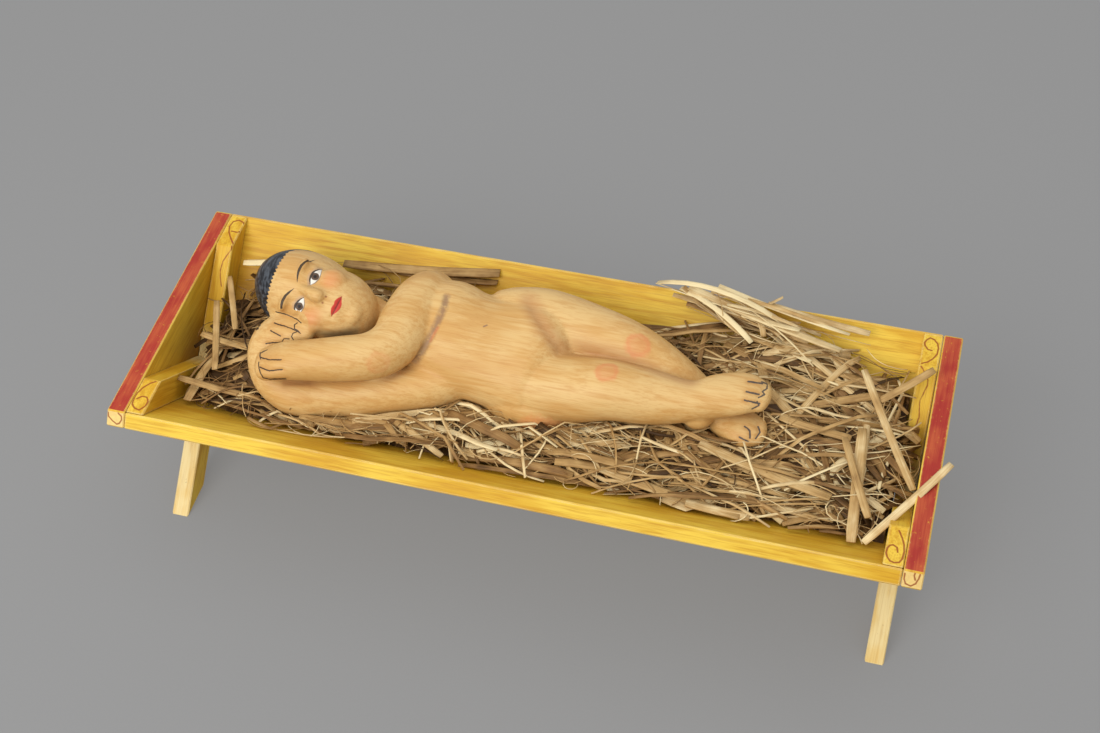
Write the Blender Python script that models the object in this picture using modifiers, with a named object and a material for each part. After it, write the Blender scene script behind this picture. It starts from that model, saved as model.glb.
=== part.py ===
"""A carved and painted wooden child lying on straw in a trough-shaped manger with crossed legs.

Metres, +Z up. X runs along the manger, -Y is the near side, and the feet stand on z = 0.
"""

import math
import random

import bmesh
import bpy
from mathutils import Matrix, Vector, noise

FIT = 0.0003  # gap between pieces that touch

MANGER_LENGTH = 0.430  # over the end boards
RIM_WIDTH = 0.1486  # between the upper inner edges of the side boards
RIM_HEIGHT = 0.101
BOARD_SLOPE = math.radians(39.6)  # side boards and legs, from the horizontal
SIDE_BOARD_THICKNESS = 0.0088
END_BOARD_THICKNESS = 0.010
END_BOARD_FLAT = 0.007  # height taken off the point of the end board
LEG_DEPTH = 0.015
LEG_WIDTH = 0.010
EDGE_ROUND = 0.0006

FIGURE_LENGTH = 0.285
STRAW_LEVEL = 0.0145  # from the rim down to the bed of straw
STRAW_DIP = 0.009  # how much lower the bed lies at the head end
STRAW_HEAP = 0.010  # how much higher it lies behind the feet
STRAW_RIPPLE = 0.0022
STALK_WIDTH = 0.0045
STALK_THICKNESS = 0.0018
STALK_SUNK = 0.0060  # how far a stalk that lies in the bed reaches down into it
SEAT_GAP = 0.0007  # between the figure's skin and the straw pressed under it

HALF_LENGTH = MANGER_LENGTH / 2
HALF_RIM = RIM_WIDTH / 2
END_FACE = HALF_LENGTH - END_BOARD_THICKNESS
LEG_OUTER = END_FACE - FIT
LEG_INNER = LEG_OUTER - LEG_WIDTH
RISE = math.tan(BOARD_SLOPE)
TROUGH_BOTTOM = RIM_HEIGHT - HALF_RIM * RISE
UNIT = FIGURE_LENGTH / 285  # the figure's own unit, about a millimetre

# Figure stations: x, y, z from the middle of the rim, half width, half depth, in figure units
TORSO = (
    (-78, 20, 1, 15, 14),
    (-70, 20, 2, 24, 18),
    (-58, 16, 3, 29.5, 21.5),
    (-45, 12, 1, 30, 22.5),
    (-31, 11, -1, 30, 22.5),
    (-17, 12, -3, 33.5, 24),
    (-3, 13, -5, 36.5, 25.5),
    (7, 12, -9, 33, 19),
    (15, 11, -13, 24, 12),
)
TORSO_ROLL = math.radians(17)
NECK = ((-74, 18, -5, 14, 13), (-88, 19, -5, 11, 10), (-104, 18, 2, 13, 12))
LEFT_ARM = (
    (-68, 34, 8, 15, 14),
    (-69, 24, 12.5, 16.5, 14),
    (-71, 8, 15, 16, 13.5),
    (-74, -8, 15, 14, 13),
    (-83, -19, 15, 13, 12.5),
    (-99, -25, 15, 12.5, 12),
    (-114, -29, 15, 11.5, 10.5),
    (-126, -32, 15, 11.5, 8.5),
    (-137, -34, 12, 11, 6.5),
)
RIGHT_ARM = (
    (-40, -5, -6, 13, 14),
    (-59, -15, -9, 13, 13),
    (-84, -24.5, -10, 12.5, 12.5),
    (-109, -31, -11, 12, 12.5),
    (-125, -34, -10, 12.5, 12),
    (-139, -29, -5, 11.5, 11),
    (-146, -17, 1, 10.5, 9),
    (-141, -10, 8, 11, 8),
    (-130, -8, 12, 10.5, 6.5),
    (-123, -8, 13, 8, 5),
)
RIGHT_LEG = (
    (-12, 3, -9, 20, 18),
    (3, -1, -7, 20, 19.5),
    (22, -2, -4, 18.5, 18),
    (43, -2, 1, 16.5, 15.5),
    (66, -1, 0, 14.5, 14),
    (86, 0, 2, 11, 10.5),
    (99, 5, 4, 12.5, 9.5),
    (112, 8, 6, 12.5, 7),
    (120, 8, 5, 9.5, 5),
)
LEFT_LEG = (
    (-22, 33, 2, 16, 17.5),
    (-3, 33.5, 3.5, 17.5, 18.5),
    (20, 31, 3, 17, 16.5),
    (46, 26, 3, 14.5, 14),
    (68, 20, -3, 12.5, 12),
    (88, 14, -12, 9.5, 9),
    (103, 4, -14, 10.5, 8),
    (114, -1, -12, 11.5, 6.5),
    (121, -1, -12, 9, 4.5),
)
# Forms that fill the figure out: middle and radii
SEAT = (((-1, -4, -13), (30, 21, 17)), ((2, 27, -9), (26, 20, 17)))
HEEL = (((89, -2, -5), (9, 9, 8)), ((92, 10, -19), (8, 7, 6)))
UNDER_CHIN = (((-108, -8, -7), (30, 15, 9)),)

# The head's own frame: its middle, the way the face looks and the way the crown points
HEAD_MIDDLE = (-128, 16.5, 9)
FACE_WAY = Vector((0.10, -0.50, 0.86))
CROWN_WAY = Vector((-0.96, 0.18, 0.22))
# Forms of the head: side, forward, height, then the three radii
SKULL = ((0, -2, 6, 23.5, 27.5, 31), (0, 5, -13, 21, 21.5, 24))
FACE = (
    (0, 17, -26, 7.5, 6.5, 6),
    (-9.5, 18, -9, 9, 7, 9),
    (9.5, 18, -9, 9, 7, 9),
    (-8.5, 21.5, 9, 8, 4, 2.6),
    (8.5, 21.5, 9, 8, 4, 2.6),
    (-9, 19.8, 2, 5.6, 4.4, 3.4),
    (9, 19.8, 2, 5.6, 4.4, 3.4),
    (0, 23, -16, 6.4, 2.8, 2),
    (0, 22.6, -18.8, 5.2, 2.8, 2),
)
# Nose stations: height, forward, half width, half depth
NOSE = ((4, 23, 2.4, 3.2), (-2, 25.5, 3, 3.8), (-7, 27, 4, 4.2))
RING_POINTS = 24
SKIN_VOXEL = 1.7
SKIN_FACES_KEPT = 0.071
SKIN_SOFTENED = 3
STRAW_VOXEL = 0.0016
STRAW_FACES_KEPT = 0.0185
STEPS = 6  # rings between two stations

# Stalks on the bed: x as a share of LEG_INNER, y as a share of HALF_RIM and lift in stalk
# widths above the bed, at each end, then the stalk's width as a share of STALK_WIDTH
STALKS = (
    ((0.904, -0.619, -0.22), (1.102, -0.162, 5.78), 1.2),
    ((0.914, -0.673, 0.00), (0.889, 0.094, 0.44), 1.3),
    ((0.955, -0.565, 0.00), (0.853, 0.027, 0.67), 1.0),
    ((0.981, -0.296, 0.00), (0.863, 0.498, 1.33), 0.9),
    ((0.883, 0.242, 0.22), (0.981, 0.485, 0.89), 1.0),
    ((0.349, 0.861, 1.11), (0.770, 0.592, 0.00), 1.5),
    ((0.395, 0.821, 0.89), (0.673, 0.673, 0.00), 1.2),
    ((0.431, 0.888, 1.56), (0.806, 0.727, 0.00), 1.3),
    ((0.642, 0.269, 0.00), (0.904, 0.296, 0.67), 1.2),
    ((0.719, 0.727, 0.00), (0.847, 0.377, 0.44), 1.0),
    ((-0.966, 0.619, 0.00), (-0.796, 0.727, 0.22), 1.2),
    ((-0.657, 0.754, 0.00), (-0.216, 0.781, 0.22), 1.2),
    ((-0.503, 0.673, 0.22), (-0.185, 0.713, 0.00), 1.5),
    ((0.688, -0.296, 0.00), (0.873, -0.485, 0.22), 1.4),
    ((0.462, -0.659, 0.00), (0.657, -0.700, 0.22), 1.2),
    ((-0.606, -0.673, 0.00), (-0.154, -0.700, 0.22), 1.2),
    ((-0.257, -0.565, 0.22), (0.113, -0.673, 0.00), 1.1),
    ((0.205, -0.485, 0.22), (0.575, -0.673, 0.00), 1.2),
    ((-0.955, -0.404, 0.00), (-0.750, -0.619, 0.22), 1.1),
    ((-0.945, 0.135, 0.00), (-0.883, -0.404, 0.44), 1.0),
)
SEEDED_STALKS = 14
SEEDED_LENGTH = (0.15, 0.32)  # shortest and longest, as shares of LEG_INNER
SEEDED_WIDTH = (0.7, 1.2)  # as shares of STALK_WIDTH
SEEDED_REACH = (0.96, 0.75)  # how far from the middle they start, as shares of LEG_INNER and HALF_RIM
SEEDED_TURN = 0.7  # spread of their headings from the manger's own, in radians
BESIDE_FIGURE = 3  # least space between a seeded stalk's middle line and a limb, in figure units
BESIDE_HEAD = 40  # and from the head's middle
HEAP_PLACE = (0.29, 0.66)  # as shares of MANGER_LENGTH and HALF_RIM
HEAP_REACH = (0.11, 0.22)
DIP_PLACE = -0.40  # where the bed starts to fall towards the head end
DIP_LENGTH = 0.017
RIPPLE_LENGTH = 0.22  # from crest to crest, as a share of HALF_RIM
BED_STEPS = (60, 20)  # along and across
EXTRA = 0.010  # how far the untrimmed bed reaches past the boards


def remove_everything():
    for old in list(bpy.data.objects):
        bpy.data.objects.remove(old, do_unlink=True)


def collection(name):
    made = bpy.data.collections.new(name)
    bpy.context.scene.collection.children.link(made)
    return made


def material(name, colour, roughness, metallic=0.0):
    made = bpy.data.materials.new(name)
    made.use_nodes = True
    shader = made.node_tree.nodes["Principled BSDF"]
    shader.inputs["Base Color"].default_value = (*colour, 1)
    shader.inputs["Roughness"].default_value = roughness
    shader.inputs["Metallic"].default_value = metallic
    return made


def add_object(name, mesh, holder, finish=None):
    made = bpy.data.objects.new(name, mesh)
    holder.objects.link(made)
    if finish:
        mesh.materials.append(finish)
    return made


def as_cutter(piece):
    piece.hide_render = True
    piece.display_type = "WIRE"
    return piece


def prism(name, outline, x_from, x_to, holder, finish=None):
    """A flat outline in Y and Z, drawn as a filled curve and extruded along X, as a mesh."""
    curve = bpy.data.curves.new(name, "CURVE")
    curve.dimensions = "2D"
    curve.fill_mode = "BOTH"
    curve.extrude = (x_to - x_from) / 2
    spline = curve.splines.new("POLY")
    spline.points.add(len(outline) - 1)
    for point, (y, z) in zip(spline.points, outline):
        point.co = (y, z, 0, 1)
    spline.use_cyclic_u = True
    drawn = bpy.data.objects.new(name + "_outline", curve)
    holder.objects.link(drawn)
    # The curve's own X, Y and Z become the world's Y, Z and X
    turn = Matrix(((0, 0, 1, 0), (1, 0, 0, 0), (0, 1, 0, 0), (0, 0, 0, 1)))
    drawn.matrix_world = Matrix.Translation(((x_from + x_to) / 2, 0, 0)) @ turn
    bpy.context.view_layer.update()
    graph = bpy.context.evaluated_depsgraph_get()
    mesh = bpy.data.meshes.new_from_object(drawn.evaluated_get(graph))
    mesh.name = name
    weld = bmesh.new()
    weld.from_mesh(mesh)
    bmesh.ops.remove_doubles(weld, verts=weld.verts, dist=1e-6)
    bmesh.ops.recalc_face_normals(weld, faces=weld.faces)
    weld.to_mesh(mesh)
    weld.free()
    made = add_object(name, mesh, holder, finish)
    made.matrix_world = drawn.matrix_world
    bpy.data.objects.remove(drawn, do_unlink=True)
    bpy.data.curves.remove(curve)
    return made


def round_edges(piece):
    bevel = piece.modifiers.new("worn edges", "BEVEL")
    bevel.width = EDGE_ROUND
    bevel.segments = 1
    bevel.limit_method = "ANGLE"


def cut(piece, cutter, name):
    boolean = piece.modifiers.new(name, "BOOLEAN")
    boolean.operation = "DIFFERENCE"
    boolean.object = cutter
    return boolean


def mirrored(outline):
    return [(-y, z) for y, z in reversed(outline)]


def leg_outline(grown, top, foot):
    """A leg that rises towards +Y along the far side board's inner face, cut level at both ends."""
    face = FIT / math.cos(BOARD_SLOPE)
    extra = grown / math.sin(BOARD_SLOPE)

    def under(height):
        return HALF_RIM - (RIM_HEIGHT + face - height) / RISE + extra

    across = LEG_DEPTH / math.sin(BOARD_SLOPE) + 2 * extra
    return [
        (under(top), top),
        (under(top) - across, top),
        (under(foot) - across, foot),
        (under(foot), foot),
    ]


def side_board_outline():
    """The near board: upper inner edge, upper outer edge, then the mitre along the trough's bottom."""
    out_y = SIDE_BOARD_THICKNESS * math.sin(BOARD_SLOPE)
    out_z = SIDE_BOARD_THICKNESS * math.cos(BOARD_SLOPE)
    mitre = -FIT / 2
    return [
        (-HALF_RIM, RIM_HEIGHT),
        (-HALF_RIM - out_y, RIM_HEIGHT - out_z),
        (mitre, TROUGH_BOTTOM - SIDE_BOARD_THICKNESS / math.cos(BOARD_SLOPE) - mitre * RISE),
        (mitre, TROUGH_BOTTOM - mitre * RISE),
    ]


def end_board_outline():
    """Level top, corners flush with the side boards' edges, sides flush with their outer faces."""
    corner_y = HALF_RIM + SIDE_BOARD_THICKNESS * math.sin(BOARD_SLOPE)
    corner_z = RIM_HEIGHT - SIDE_BOARD_THICKNESS * math.cos(BOARD_SLOPE)
    point_z = corner_z - corner_y * RISE
    flat_y = END_BOARD_FLAT / RISE
    half = [(HALF_RIM, RIM_HEIGHT), (corner_y, corner_z), (flat_y, point_z + END_BOARD_FLAT)]
    return half + mirrored(half)


def make_manger(parts, cutters, boards, reds, pales):
    grown = FIT
    below = -LEG_DEPTH
    above = RIM_HEIGHT + LEG_DEPTH
    near = side_board_outline()
    sides = {
        "near_side_board": prism("near_side_board", near, -LEG_OUTER, LEG_OUTER, parts, boards),
        "far_side_board": prism("far_side_board", mirrored(near), -LEG_OUTER, LEG_OUTER, parts, boards),
    }
    for board in sides.values():
        round_edges(board)
    rising_far = leg_outline(0, RIM_HEIGHT, 0)
    strip_far = leg_outline(grown, above, below)
    middle = (LEG_INNER + LEG_OUTER) / 2
    for end, sign in (("head_end", -1), ("foot_end", 1)):
        spans = {
            "leg": sorted((sign * LEG_INNER, sign * LEG_OUTER)),
            "notch": sorted((sign * (LEG_INNER - FIT), sign * (LEG_OUTER + FIT + LEG_WIDTH))),
            "inner_half": sorted((sign * (LEG_INNER - LEG_WIDTH), sign * (middle + FIT / 2))),
            "outer_half": sorted((sign * (middle - FIT / 2), sign * (LEG_OUTER + LEG_WIDTH))),
            "board": sorted((sign * END_FACE, sign * HALF_LENGTH)),
        }
        near_foot = prism(end + "_leg_near_foot", rising_far, *spans["leg"], parts, pales)
        far_foot = prism(end + "_leg_far_foot", mirrored(rising_far), *spans["leg"], parts, pales)
        near_strip = prism(end + "_near_notch", strip_far, *spans["notch"], cutters)
        far_strip = prism(end + "_far_notch", mirrored(strip_far), *spans["notch"], cutters)
        lap_near = prism(end + "_lap_of_near_leg", mirrored(strip_far), *spans["inner_half"], cutters)
        lap_far = prism(end + "_lap_of_far_leg", strip_far, *spans["outer_half"], cutters)
        for cutter in (near_strip, far_strip, lap_near, lap_far):
            as_cutter(cutter)
        for leg in (near_foot, far_foot):
            round_edges(leg)
        cut(near_foot, lap_near, "half lap")
        cut(far_foot, lap_far, "half lap")
        cut(sides["near_side_board"], near_strip, end + " leg notch")
        cut(sides["far_side_board"], far_strip, end + " leg notch")
        board = prism(end + "_board", end_board_outline(), *spans["board"], parts, reds)
        round_edges(board)


def loft(bm, rings):
    """Closed skin over rings of equal count, with a flat face on each end."""
    rows = [[bm.verts.new(point) for point in ring] for ring in rings]
    count = len(rows[0])
    for low, high in zip(rows, rows[1:]):
        for i in range(count):
            j = (i + 1) % count
            bm.faces.new((low[i], low[j], high[j], high[i]))
    bm.faces.new(list(reversed(rows[0])))
    bm.faces.new(rows[-1])


def between(stations, place):
    """Catmull-Rom blend of the stations at a place counted in stations."""
    last = len(stations) - 1
    base = min(int(place), last - 1)
    t = place - base
    before = stations[max(base - 1, 0)]
    start = stations[base]
    end = stations[base + 1]
    after = stations[min(base + 2, last)]
    return [
        0.5 * (2 * b + (c - a) * t + (2 * a - 5 * b + 4 * c - d) * t**2 + (3 * b - a - 3 * c + d) * t**3)
        for a, b, c, d in zip(before, start, end, after)
    ]


def limb_rings(stations, roll=0.0, up=Vector((0, 0, 1))):
    """Elliptical rings along the stations, drawn in to a rounded end at both ends."""
    count = (len(stations) - 1) * STEPS
    rows = [between(stations, i / STEPS) for i in range(count + 1)]
    centres = [Vector(row[:3]) for row in rows]
    rings = []
    for i, row in enumerate(rows):
        way = (centres[min(i + 1, count)] - centres[max(i - 1, 0)]).normalized()
        side = up.cross(way).normalized()
        deep = way.cross(side)
        side, deep = (
            side * math.cos(roll) + deep * math.sin(roll),
            deep * math.cos(roll) - side * math.sin(roll),
        )
        wide, thick = row[3:5]
        at_start, at_end = i == 0, i == count
        caps = [math.radians(a) for a in (80, 55, 30)] if at_start else []
        caps += [0.0]
        caps += [math.radians(a) for a in (30, 55, 80)] if at_end else []
        for lean in caps:
            reach = min(wide, thick) * math.sin(lean) * (-1 if at_start and not at_end else 1)
            middle = centres[i] + way * reach
            shrink = math.cos(lean)
            rings.append(
                [
                    middle
                    + side * (wide * shrink * math.cos(turn))
                    + deep * (thick * shrink * math.sin(turn))
                    for turn in (2 * math.pi * k / RING_POINTS for k in range(RING_POINTS))
                ]
            )
    return rings


def ball(bm, middle, radii, turn=Matrix()):
    """An ellipsoid with its radii along the columns of the turn."""
    size = Matrix.Diagonal((*radii, 1))
    bmesh.ops.create_uvsphere(
        bm, u_segments=20, v_segments=12, radius=1, matrix=Matrix.Translation(middle) @ turn @ size
    )


def head_frame():
    face = FACE_WAY.normalized()
    crown = (CROWN_WAY - face * CROWN_WAY.dot(face)).normalized()
    side = crown.cross(face)
    turn = Matrix((side, face, crown)).transposed().to_4x4()
    return Matrix.Translation(HEAD_MIDDLE) @ turn, turn


def fuse(piece, voxel, kept, softened=0, swelling=0.0):
    """Makes overlapping forms one skin, softens and swells it, and thins it to facets."""
    remesh = piece.modifiers.new("one skin", "REMESH")
    remesh.mode = "VOXEL"
    remesh.voxel_size = voxel
    if softened:
        smooth = piece.modifiers.new("soften", "SMOOTH")
        smooth.factor = 0.5
        smooth.iterations = softened
    if swelling:
        swell = piece.modifiers.new("swell", "DISPLACE")
        swell.mid_level = 0
        swell.strength = swelling
    thin = piece.modifiers.new("facets", "DECIMATE")
    thin.ratio = kept


def make_figure(parts, skin):
    """The carved child: overlapping forms, made one skin and thinned to facets."""
    bm = bmesh.new()
    loft(bm, limb_rings(TORSO, TORSO_ROLL))
    for limb in (NECK, LEFT_ARM, RIGHT_ARM, RIGHT_LEG, LEFT_LEG):
        loft(bm, limb_rings(limb))
    for middle, radii in SEAT + HEEL + UNDER_CHIN:
        ball(bm, middle, radii)
    frame, turn = head_frame()
    nose = [(0, forward, height, wide, deep) for height, forward, wide, deep in NOSE]
    rings = limb_rings(nose, up=Vector((0, 1, 0)))
    loft(bm, [[frame @ point for point in ring] for ring in rings])
    for side, forward, height, *radii in SKULL + FACE:
        ball(bm, frame @ Vector((side, forward, height)), radii, turn)
    for vertex in bm.verts:
        vertex.co = vertex.co * UNIT + Vector((0, 0, RIM_HEIGHT))
    bmesh.ops.recalc_face_normals(bm, faces=bm.faces)
    mesh = bpy.data.meshes.new("figure")
    bm.to_mesh(mesh)
    bm.free()
    figure = add_object("figure", mesh, parts, skin)
    mesh.shade_smooth()
    fuse(figure, SKIN_VOXEL * UNIT, SKIN_FACES_KEPT, SKIN_SOFTENED)
    return figure


def straw_height(x, y):
    """The bed's top: level, lower by the head, heaped behind the feet and lightly rippled."""
    fallen = 1 / (1 + math.exp((x / MANGER_LENGTH - DIP_PLACE) / DIP_LENGTH))
    along = (x / MANGER_LENGTH - HEAP_PLACE[0]) / HEAP_REACH[0]
    across = (y / HALF_RIM - HEAP_PLACE[1]) / HEAP_REACH[1]
    heap = STRAW_HEAP * math.exp(-(along**2) - across**2)
    ripple = STRAW_RIPPLE * noise.noise(Vector((x, y, 0)) / (RIPPLE_LENGTH * HALF_RIM))
    return RIM_HEIGHT - STRAW_LEVEL - STRAW_DIP * fallen + heap + ripple


def wall_y(z):
    """How far the straw reaches sideways at a height, just clear of the side boards."""
    return (z - TROUGH_BOTTOM) / RISE - FIT / math.sin(BOARD_SLOPE)


def bed_section(x, across):
    """One upright cut through the untrimmed bed: its top from side to side, and a level underside."""
    reach = HALF_RIM + EXTRA
    under = TROUGH_BOTTOM - EXTRA
    ring = [Vector((x, -reach, under)), Vector((x, reach, under))]
    for i in range(across + 1):
        y = reach * (1 - 2 * i / across)
        ring.append(Vector((x, y, straw_height(x, y))))
    return ring


def trough_space_outline():
    """The V between the side boards, carried up past the rim."""
    top = RIM_HEIGHT + LEG_DEPTH + SIDE_BOARD_THICKNESS
    point = TROUGH_BOTTOM + FIT / math.cos(BOARD_SLOPE)
    return [(0, point), (wall_y(top), top), (-wall_y(top), top)]


def add_stalk(bm, start, end, width, depth):
    """One flattened stalk between two points, reaching down from them by its depth."""
    way = (end - start).normalized()
    side = Vector((0, 0, 1)).cross(way).normalized()
    flat = way.cross(side)
    turn = Matrix((way, side, flat)).transposed().to_4x4()
    middle = (start + end) / 2 - flat * (depth - STALK_THICKNESS) / 2
    size = Matrix.Diagonal(((end - start).length, width, depth, 1))
    bmesh.ops.create_cube(bm, size=1, matrix=Matrix.Translation(middle) @ turn @ size)


def beside_figure(point):
    """True where a stalk may lie without reaching under the figure."""
    for limb in (TORSO, LEFT_ARM, RIGHT_ARM, RIGHT_LEG, LEFT_LEG):
        for x, y, _, wide, thick in limb:
            away = math.hypot(point.x - x * UNIT, point.y - y * UNIT)
            if away < (max(wide, thick) + BESIDE_FIGURE) * UNIT:
                return False
    away = math.hypot(point.x - HEAD_MIDDLE[0] * UNIT, point.y - HEAD_MIDDLE[1] * UNIT)
    return away > BESIDE_HEAD * UNIT


def chosen_stalks():
    """The hand-placed stalks, as start, end, width and depth: deep in the bed, or thin if leaning out."""
    for *ends, share in STALKS:
        spots = []
        for along, across, lift in ends:
            x, y = along * LEG_INNER, across * HALF_RIM
            bed = straw_height(min(x, LEG_INNER), y)
            spots.append(Vector((x, y, bed + lift * STALK_WIDTH)))
        highest = max(lift for _, _, lift in ends) * STALK_WIDTH
        leans_out = max(abs(along) for along, _, _ in ends) > 1
        depth = STALK_THICKNESS if leans_out else STALK_THICKNESS + STALK_SUNK + highest / 2
        yield spots[0], spots[1], STALK_WIDTH * share, depth


def seeded_stalks():
    """More stalks, where one fits between the boards and beside the figure."""
    chance = random.Random(12)
    made = 0
    while made < SEEDED_STALKS:
        x = chance.uniform(-SEEDED_REACH[0], SEEDED_REACH[0]) * LEG_INNER
        y = chance.uniform(-SEEDED_REACH[1], SEEDED_REACH[1]) * HALF_RIM
        heading = chance.gauss(0.0, SEEDED_TURN)
        reach = chance.uniform(*SEEDED_LENGTH) * LEG_INNER
        way = Vector((math.cos(heading), math.sin(heading), 0)) * reach
        spots = [Vector((x, y, 0)) + way * share for share in (0, 0.25, 0.5, 0.75, 1)]
        width = STALK_WIDTH * chance.uniform(*SEEDED_WIDTH)
        if any(abs(spot.x) > LEG_INNER - width for spot in spots):
            continue
        if any(abs(spot.y) > wall_y(straw_height(spot.x, spot.y)) - width for spot in spots):
            continue
        if not all(beside_figure(spot) for spot in spots):
            continue
        for spot in spots:
            spot.z = straw_height(spot.x, spot.y)
        spots[-1].z += chance.uniform(0.0, STALK_SUNK / 2)
        made += 1
        yield spots[0], spots[-1], width, STALK_THICKNESS + STALK_SUNK


def make_straw(parts, cutters, straw, figure):
    """The bed of straw with its larger stalks fused on, pressed to the figure's underside."""
    along, across = BED_STEPS
    reach = LEG_INNER + EXTRA
    bm = bmesh.new()
    loft(bm, [bed_section(reach * (2 * i / along - 1), across) for i in range(along + 1)])
    bmesh.ops.recalc_face_normals(bm, faces=bm.faces)
    for start, end, width, depth in [*chosen_stalks(), *seeded_stalks()]:
        add_stalk(bm, start, end, width, depth)
    mesh = bpy.data.meshes.new("straw_bed")
    bm.to_mesh(mesh)
    bm.free()
    bed = add_object("straw_bed", mesh, parts, straw)
    fuse(bed, STRAW_VOXEL, STRAW_FACES_KEPT)

    end_face = LEG_INNER - FIT
    space = prism("trough_space", trough_space_outline(), -end_face, end_face, cutters)
    trim = bed.modifiers.new("between the boards", "BOOLEAN")
    trim.operation = "INTERSECT"
    trim.object = as_cutter(space)

    seat = as_cutter(add_object("seat", figure.data, cutters))
    fuse(seat, SKIN_VOXEL * UNIT, SKIN_FACES_KEPT, SKIN_SOFTENED, SEAT_GAP)
    cut(bed, seat, "seat")
    return bed


def main():
    remove_everything()
    parts = collection("child_in_manger")
    cutters = collection("cutters")
    boards = material("yellow painted board", (0.76, 0.46, 0.05), 0.55)
    reds = material("red painted board", (0.55, 0.07, 0.04), 0.55)
    pales = material("cream painted leg", (0.78, 0.62, 0.25), 0.6)
    skin = material("flesh painted wood", (0.75, 0.42, 0.18), 0.45)
    straw = material("dry straw", (0.55, 0.40, 0.18), 0.8)
    make_manger(parts, cutters, boards, reds, pales)
    figure = make_figure(parts, skin)
    make_straw(parts, cutters, straw, figure)


main()
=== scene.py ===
"""The finish of a carved and painted wooden child lying on straw in a painted manger.

Metres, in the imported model's frame: X along the manger towards the feet, -Y the near side, +Z up.
The figure, the painted lines and the chosen stalks are given in millimetres from the middle of the rim.
"""

import math
import random

import bmesh
import bpy
import numpy as np
from mathutils import Matrix, Vector, noise
from mathutils.bvhtree import BVHTree


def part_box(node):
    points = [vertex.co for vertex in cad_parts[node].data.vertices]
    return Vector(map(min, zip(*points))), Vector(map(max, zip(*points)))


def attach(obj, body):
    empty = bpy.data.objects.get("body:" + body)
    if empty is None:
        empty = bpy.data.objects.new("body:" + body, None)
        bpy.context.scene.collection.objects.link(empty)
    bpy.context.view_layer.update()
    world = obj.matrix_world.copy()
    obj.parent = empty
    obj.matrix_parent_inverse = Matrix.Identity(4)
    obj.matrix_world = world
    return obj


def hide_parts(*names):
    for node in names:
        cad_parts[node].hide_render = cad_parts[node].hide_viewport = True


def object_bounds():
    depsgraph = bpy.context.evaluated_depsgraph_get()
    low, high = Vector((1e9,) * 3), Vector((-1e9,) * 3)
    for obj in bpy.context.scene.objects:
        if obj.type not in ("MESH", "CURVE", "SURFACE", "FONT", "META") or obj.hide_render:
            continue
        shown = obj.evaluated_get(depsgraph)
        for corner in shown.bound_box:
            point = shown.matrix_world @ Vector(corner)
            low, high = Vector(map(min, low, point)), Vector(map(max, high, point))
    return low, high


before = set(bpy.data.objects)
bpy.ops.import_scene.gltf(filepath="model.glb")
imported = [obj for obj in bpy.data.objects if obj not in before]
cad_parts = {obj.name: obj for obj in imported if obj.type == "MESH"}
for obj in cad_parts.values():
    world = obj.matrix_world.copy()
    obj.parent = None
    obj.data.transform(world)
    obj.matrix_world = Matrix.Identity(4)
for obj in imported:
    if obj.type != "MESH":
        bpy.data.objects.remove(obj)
cad_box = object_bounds()

MILLIMETRE = 0.001
RIM_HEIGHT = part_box("head_end_board")[1].z
LEG_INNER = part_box("straw_bed")[1].x
LEG_ACROSS = 0.0255  # a leg's width across the manger where it is cut level, and some room
END_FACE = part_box("foot_end_board")[0].x
BOARD_SLOPE = math.radians(39.6)
HALF_RIM = 0.0743
HALF_LENGTH = cad_box[1][0]
RISE = math.tan(BOARD_SLOPE)
TROUGH_BOTTOM = RIM_HEIGHT - HALF_RIM * RISE

# Camera: place, bearing, height above level, roll and lens in millimetres
CAMERA_PLACE = (0.19436, -0.51041, 0.78814)
CAMERA_BEARING = math.radians(19.94)
CAMERA_HEIGHT = math.radians(51.32)
CAMERA_ROLL = math.radians(-5.41)
CAMERA_LENS = 54.26

# Figure stations: x, y, z, half width, half depth
TORSO = (
    (-78, 20, 1, 15, 14),
    (-70, 20, 2, 24, 18),
    (-58, 16, 3, 29.5, 21.5),
    (-45, 12, 1, 30, 22.5),
    (-31, 11, -1, 30, 22.5),
    (-17, 12, -3, 33.5, 24),
    (-3, 13, -5, 36.5, 25.5),
    (7, 12, -9, 33, 19),
    (15, 11, -13, 24, 12),
)
TORSO_ROLL = math.radians(17)
NECK = ((-74, 18, -5, 14, 13), (-88, 19, -5, 11, 10), (-104, 18, 2, 13, 12))
LEFT_ARM = (
    (-68, 34, 8, 15, 14),
    (-69, 24, 12.5, 16.5, 14),
    (-71, 8, 15, 16, 13.5),
    (-74, -8, 15, 14, 13),
    (-83, -19, 15, 13, 12.5),
    (-99, -25, 15, 12.5, 12),
    (-114, -29, 15, 11.5, 10.5),
    (-126, -32, 15, 11.5, 8.5),
    (-137, -34, 12, 11, 6.5),
)
RIGHT_ARM = (
    (-40, -5, -6, 13, 14),
    (-59, -15, -9, 13, 13),
    (-84, -24.5, -10, 12.5, 12.5),
    (-109, -31, -11, 12, 12.5),
    (-125, -34, -10, 12.5, 12),
    (-139, -29, -5, 11.5, 11),
    (-146, -17, 1, 10.5, 9),
    (-141, -10, 8, 11, 8),
    (-130, -8, 12, 10.5, 6.5),
    (-123, -8, 13, 8, 5),
)
RIGHT_LEG = (
    (-12, 3, -9, 20, 18),
    (3, -1, -7, 20, 19.5),
    (22, -2, -4, 18.5, 18),
    (43, -2, 1, 16.5, 15.5),
    (66, -1, 0, 14.5, 14),
    (86, 0, 2, 11, 10.5),
    (99, 5, 4, 12.5, 9.5),
    (112, 8, 6, 12.5, 7),
    (120, 8, 5, 9.5, 5),
)
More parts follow.
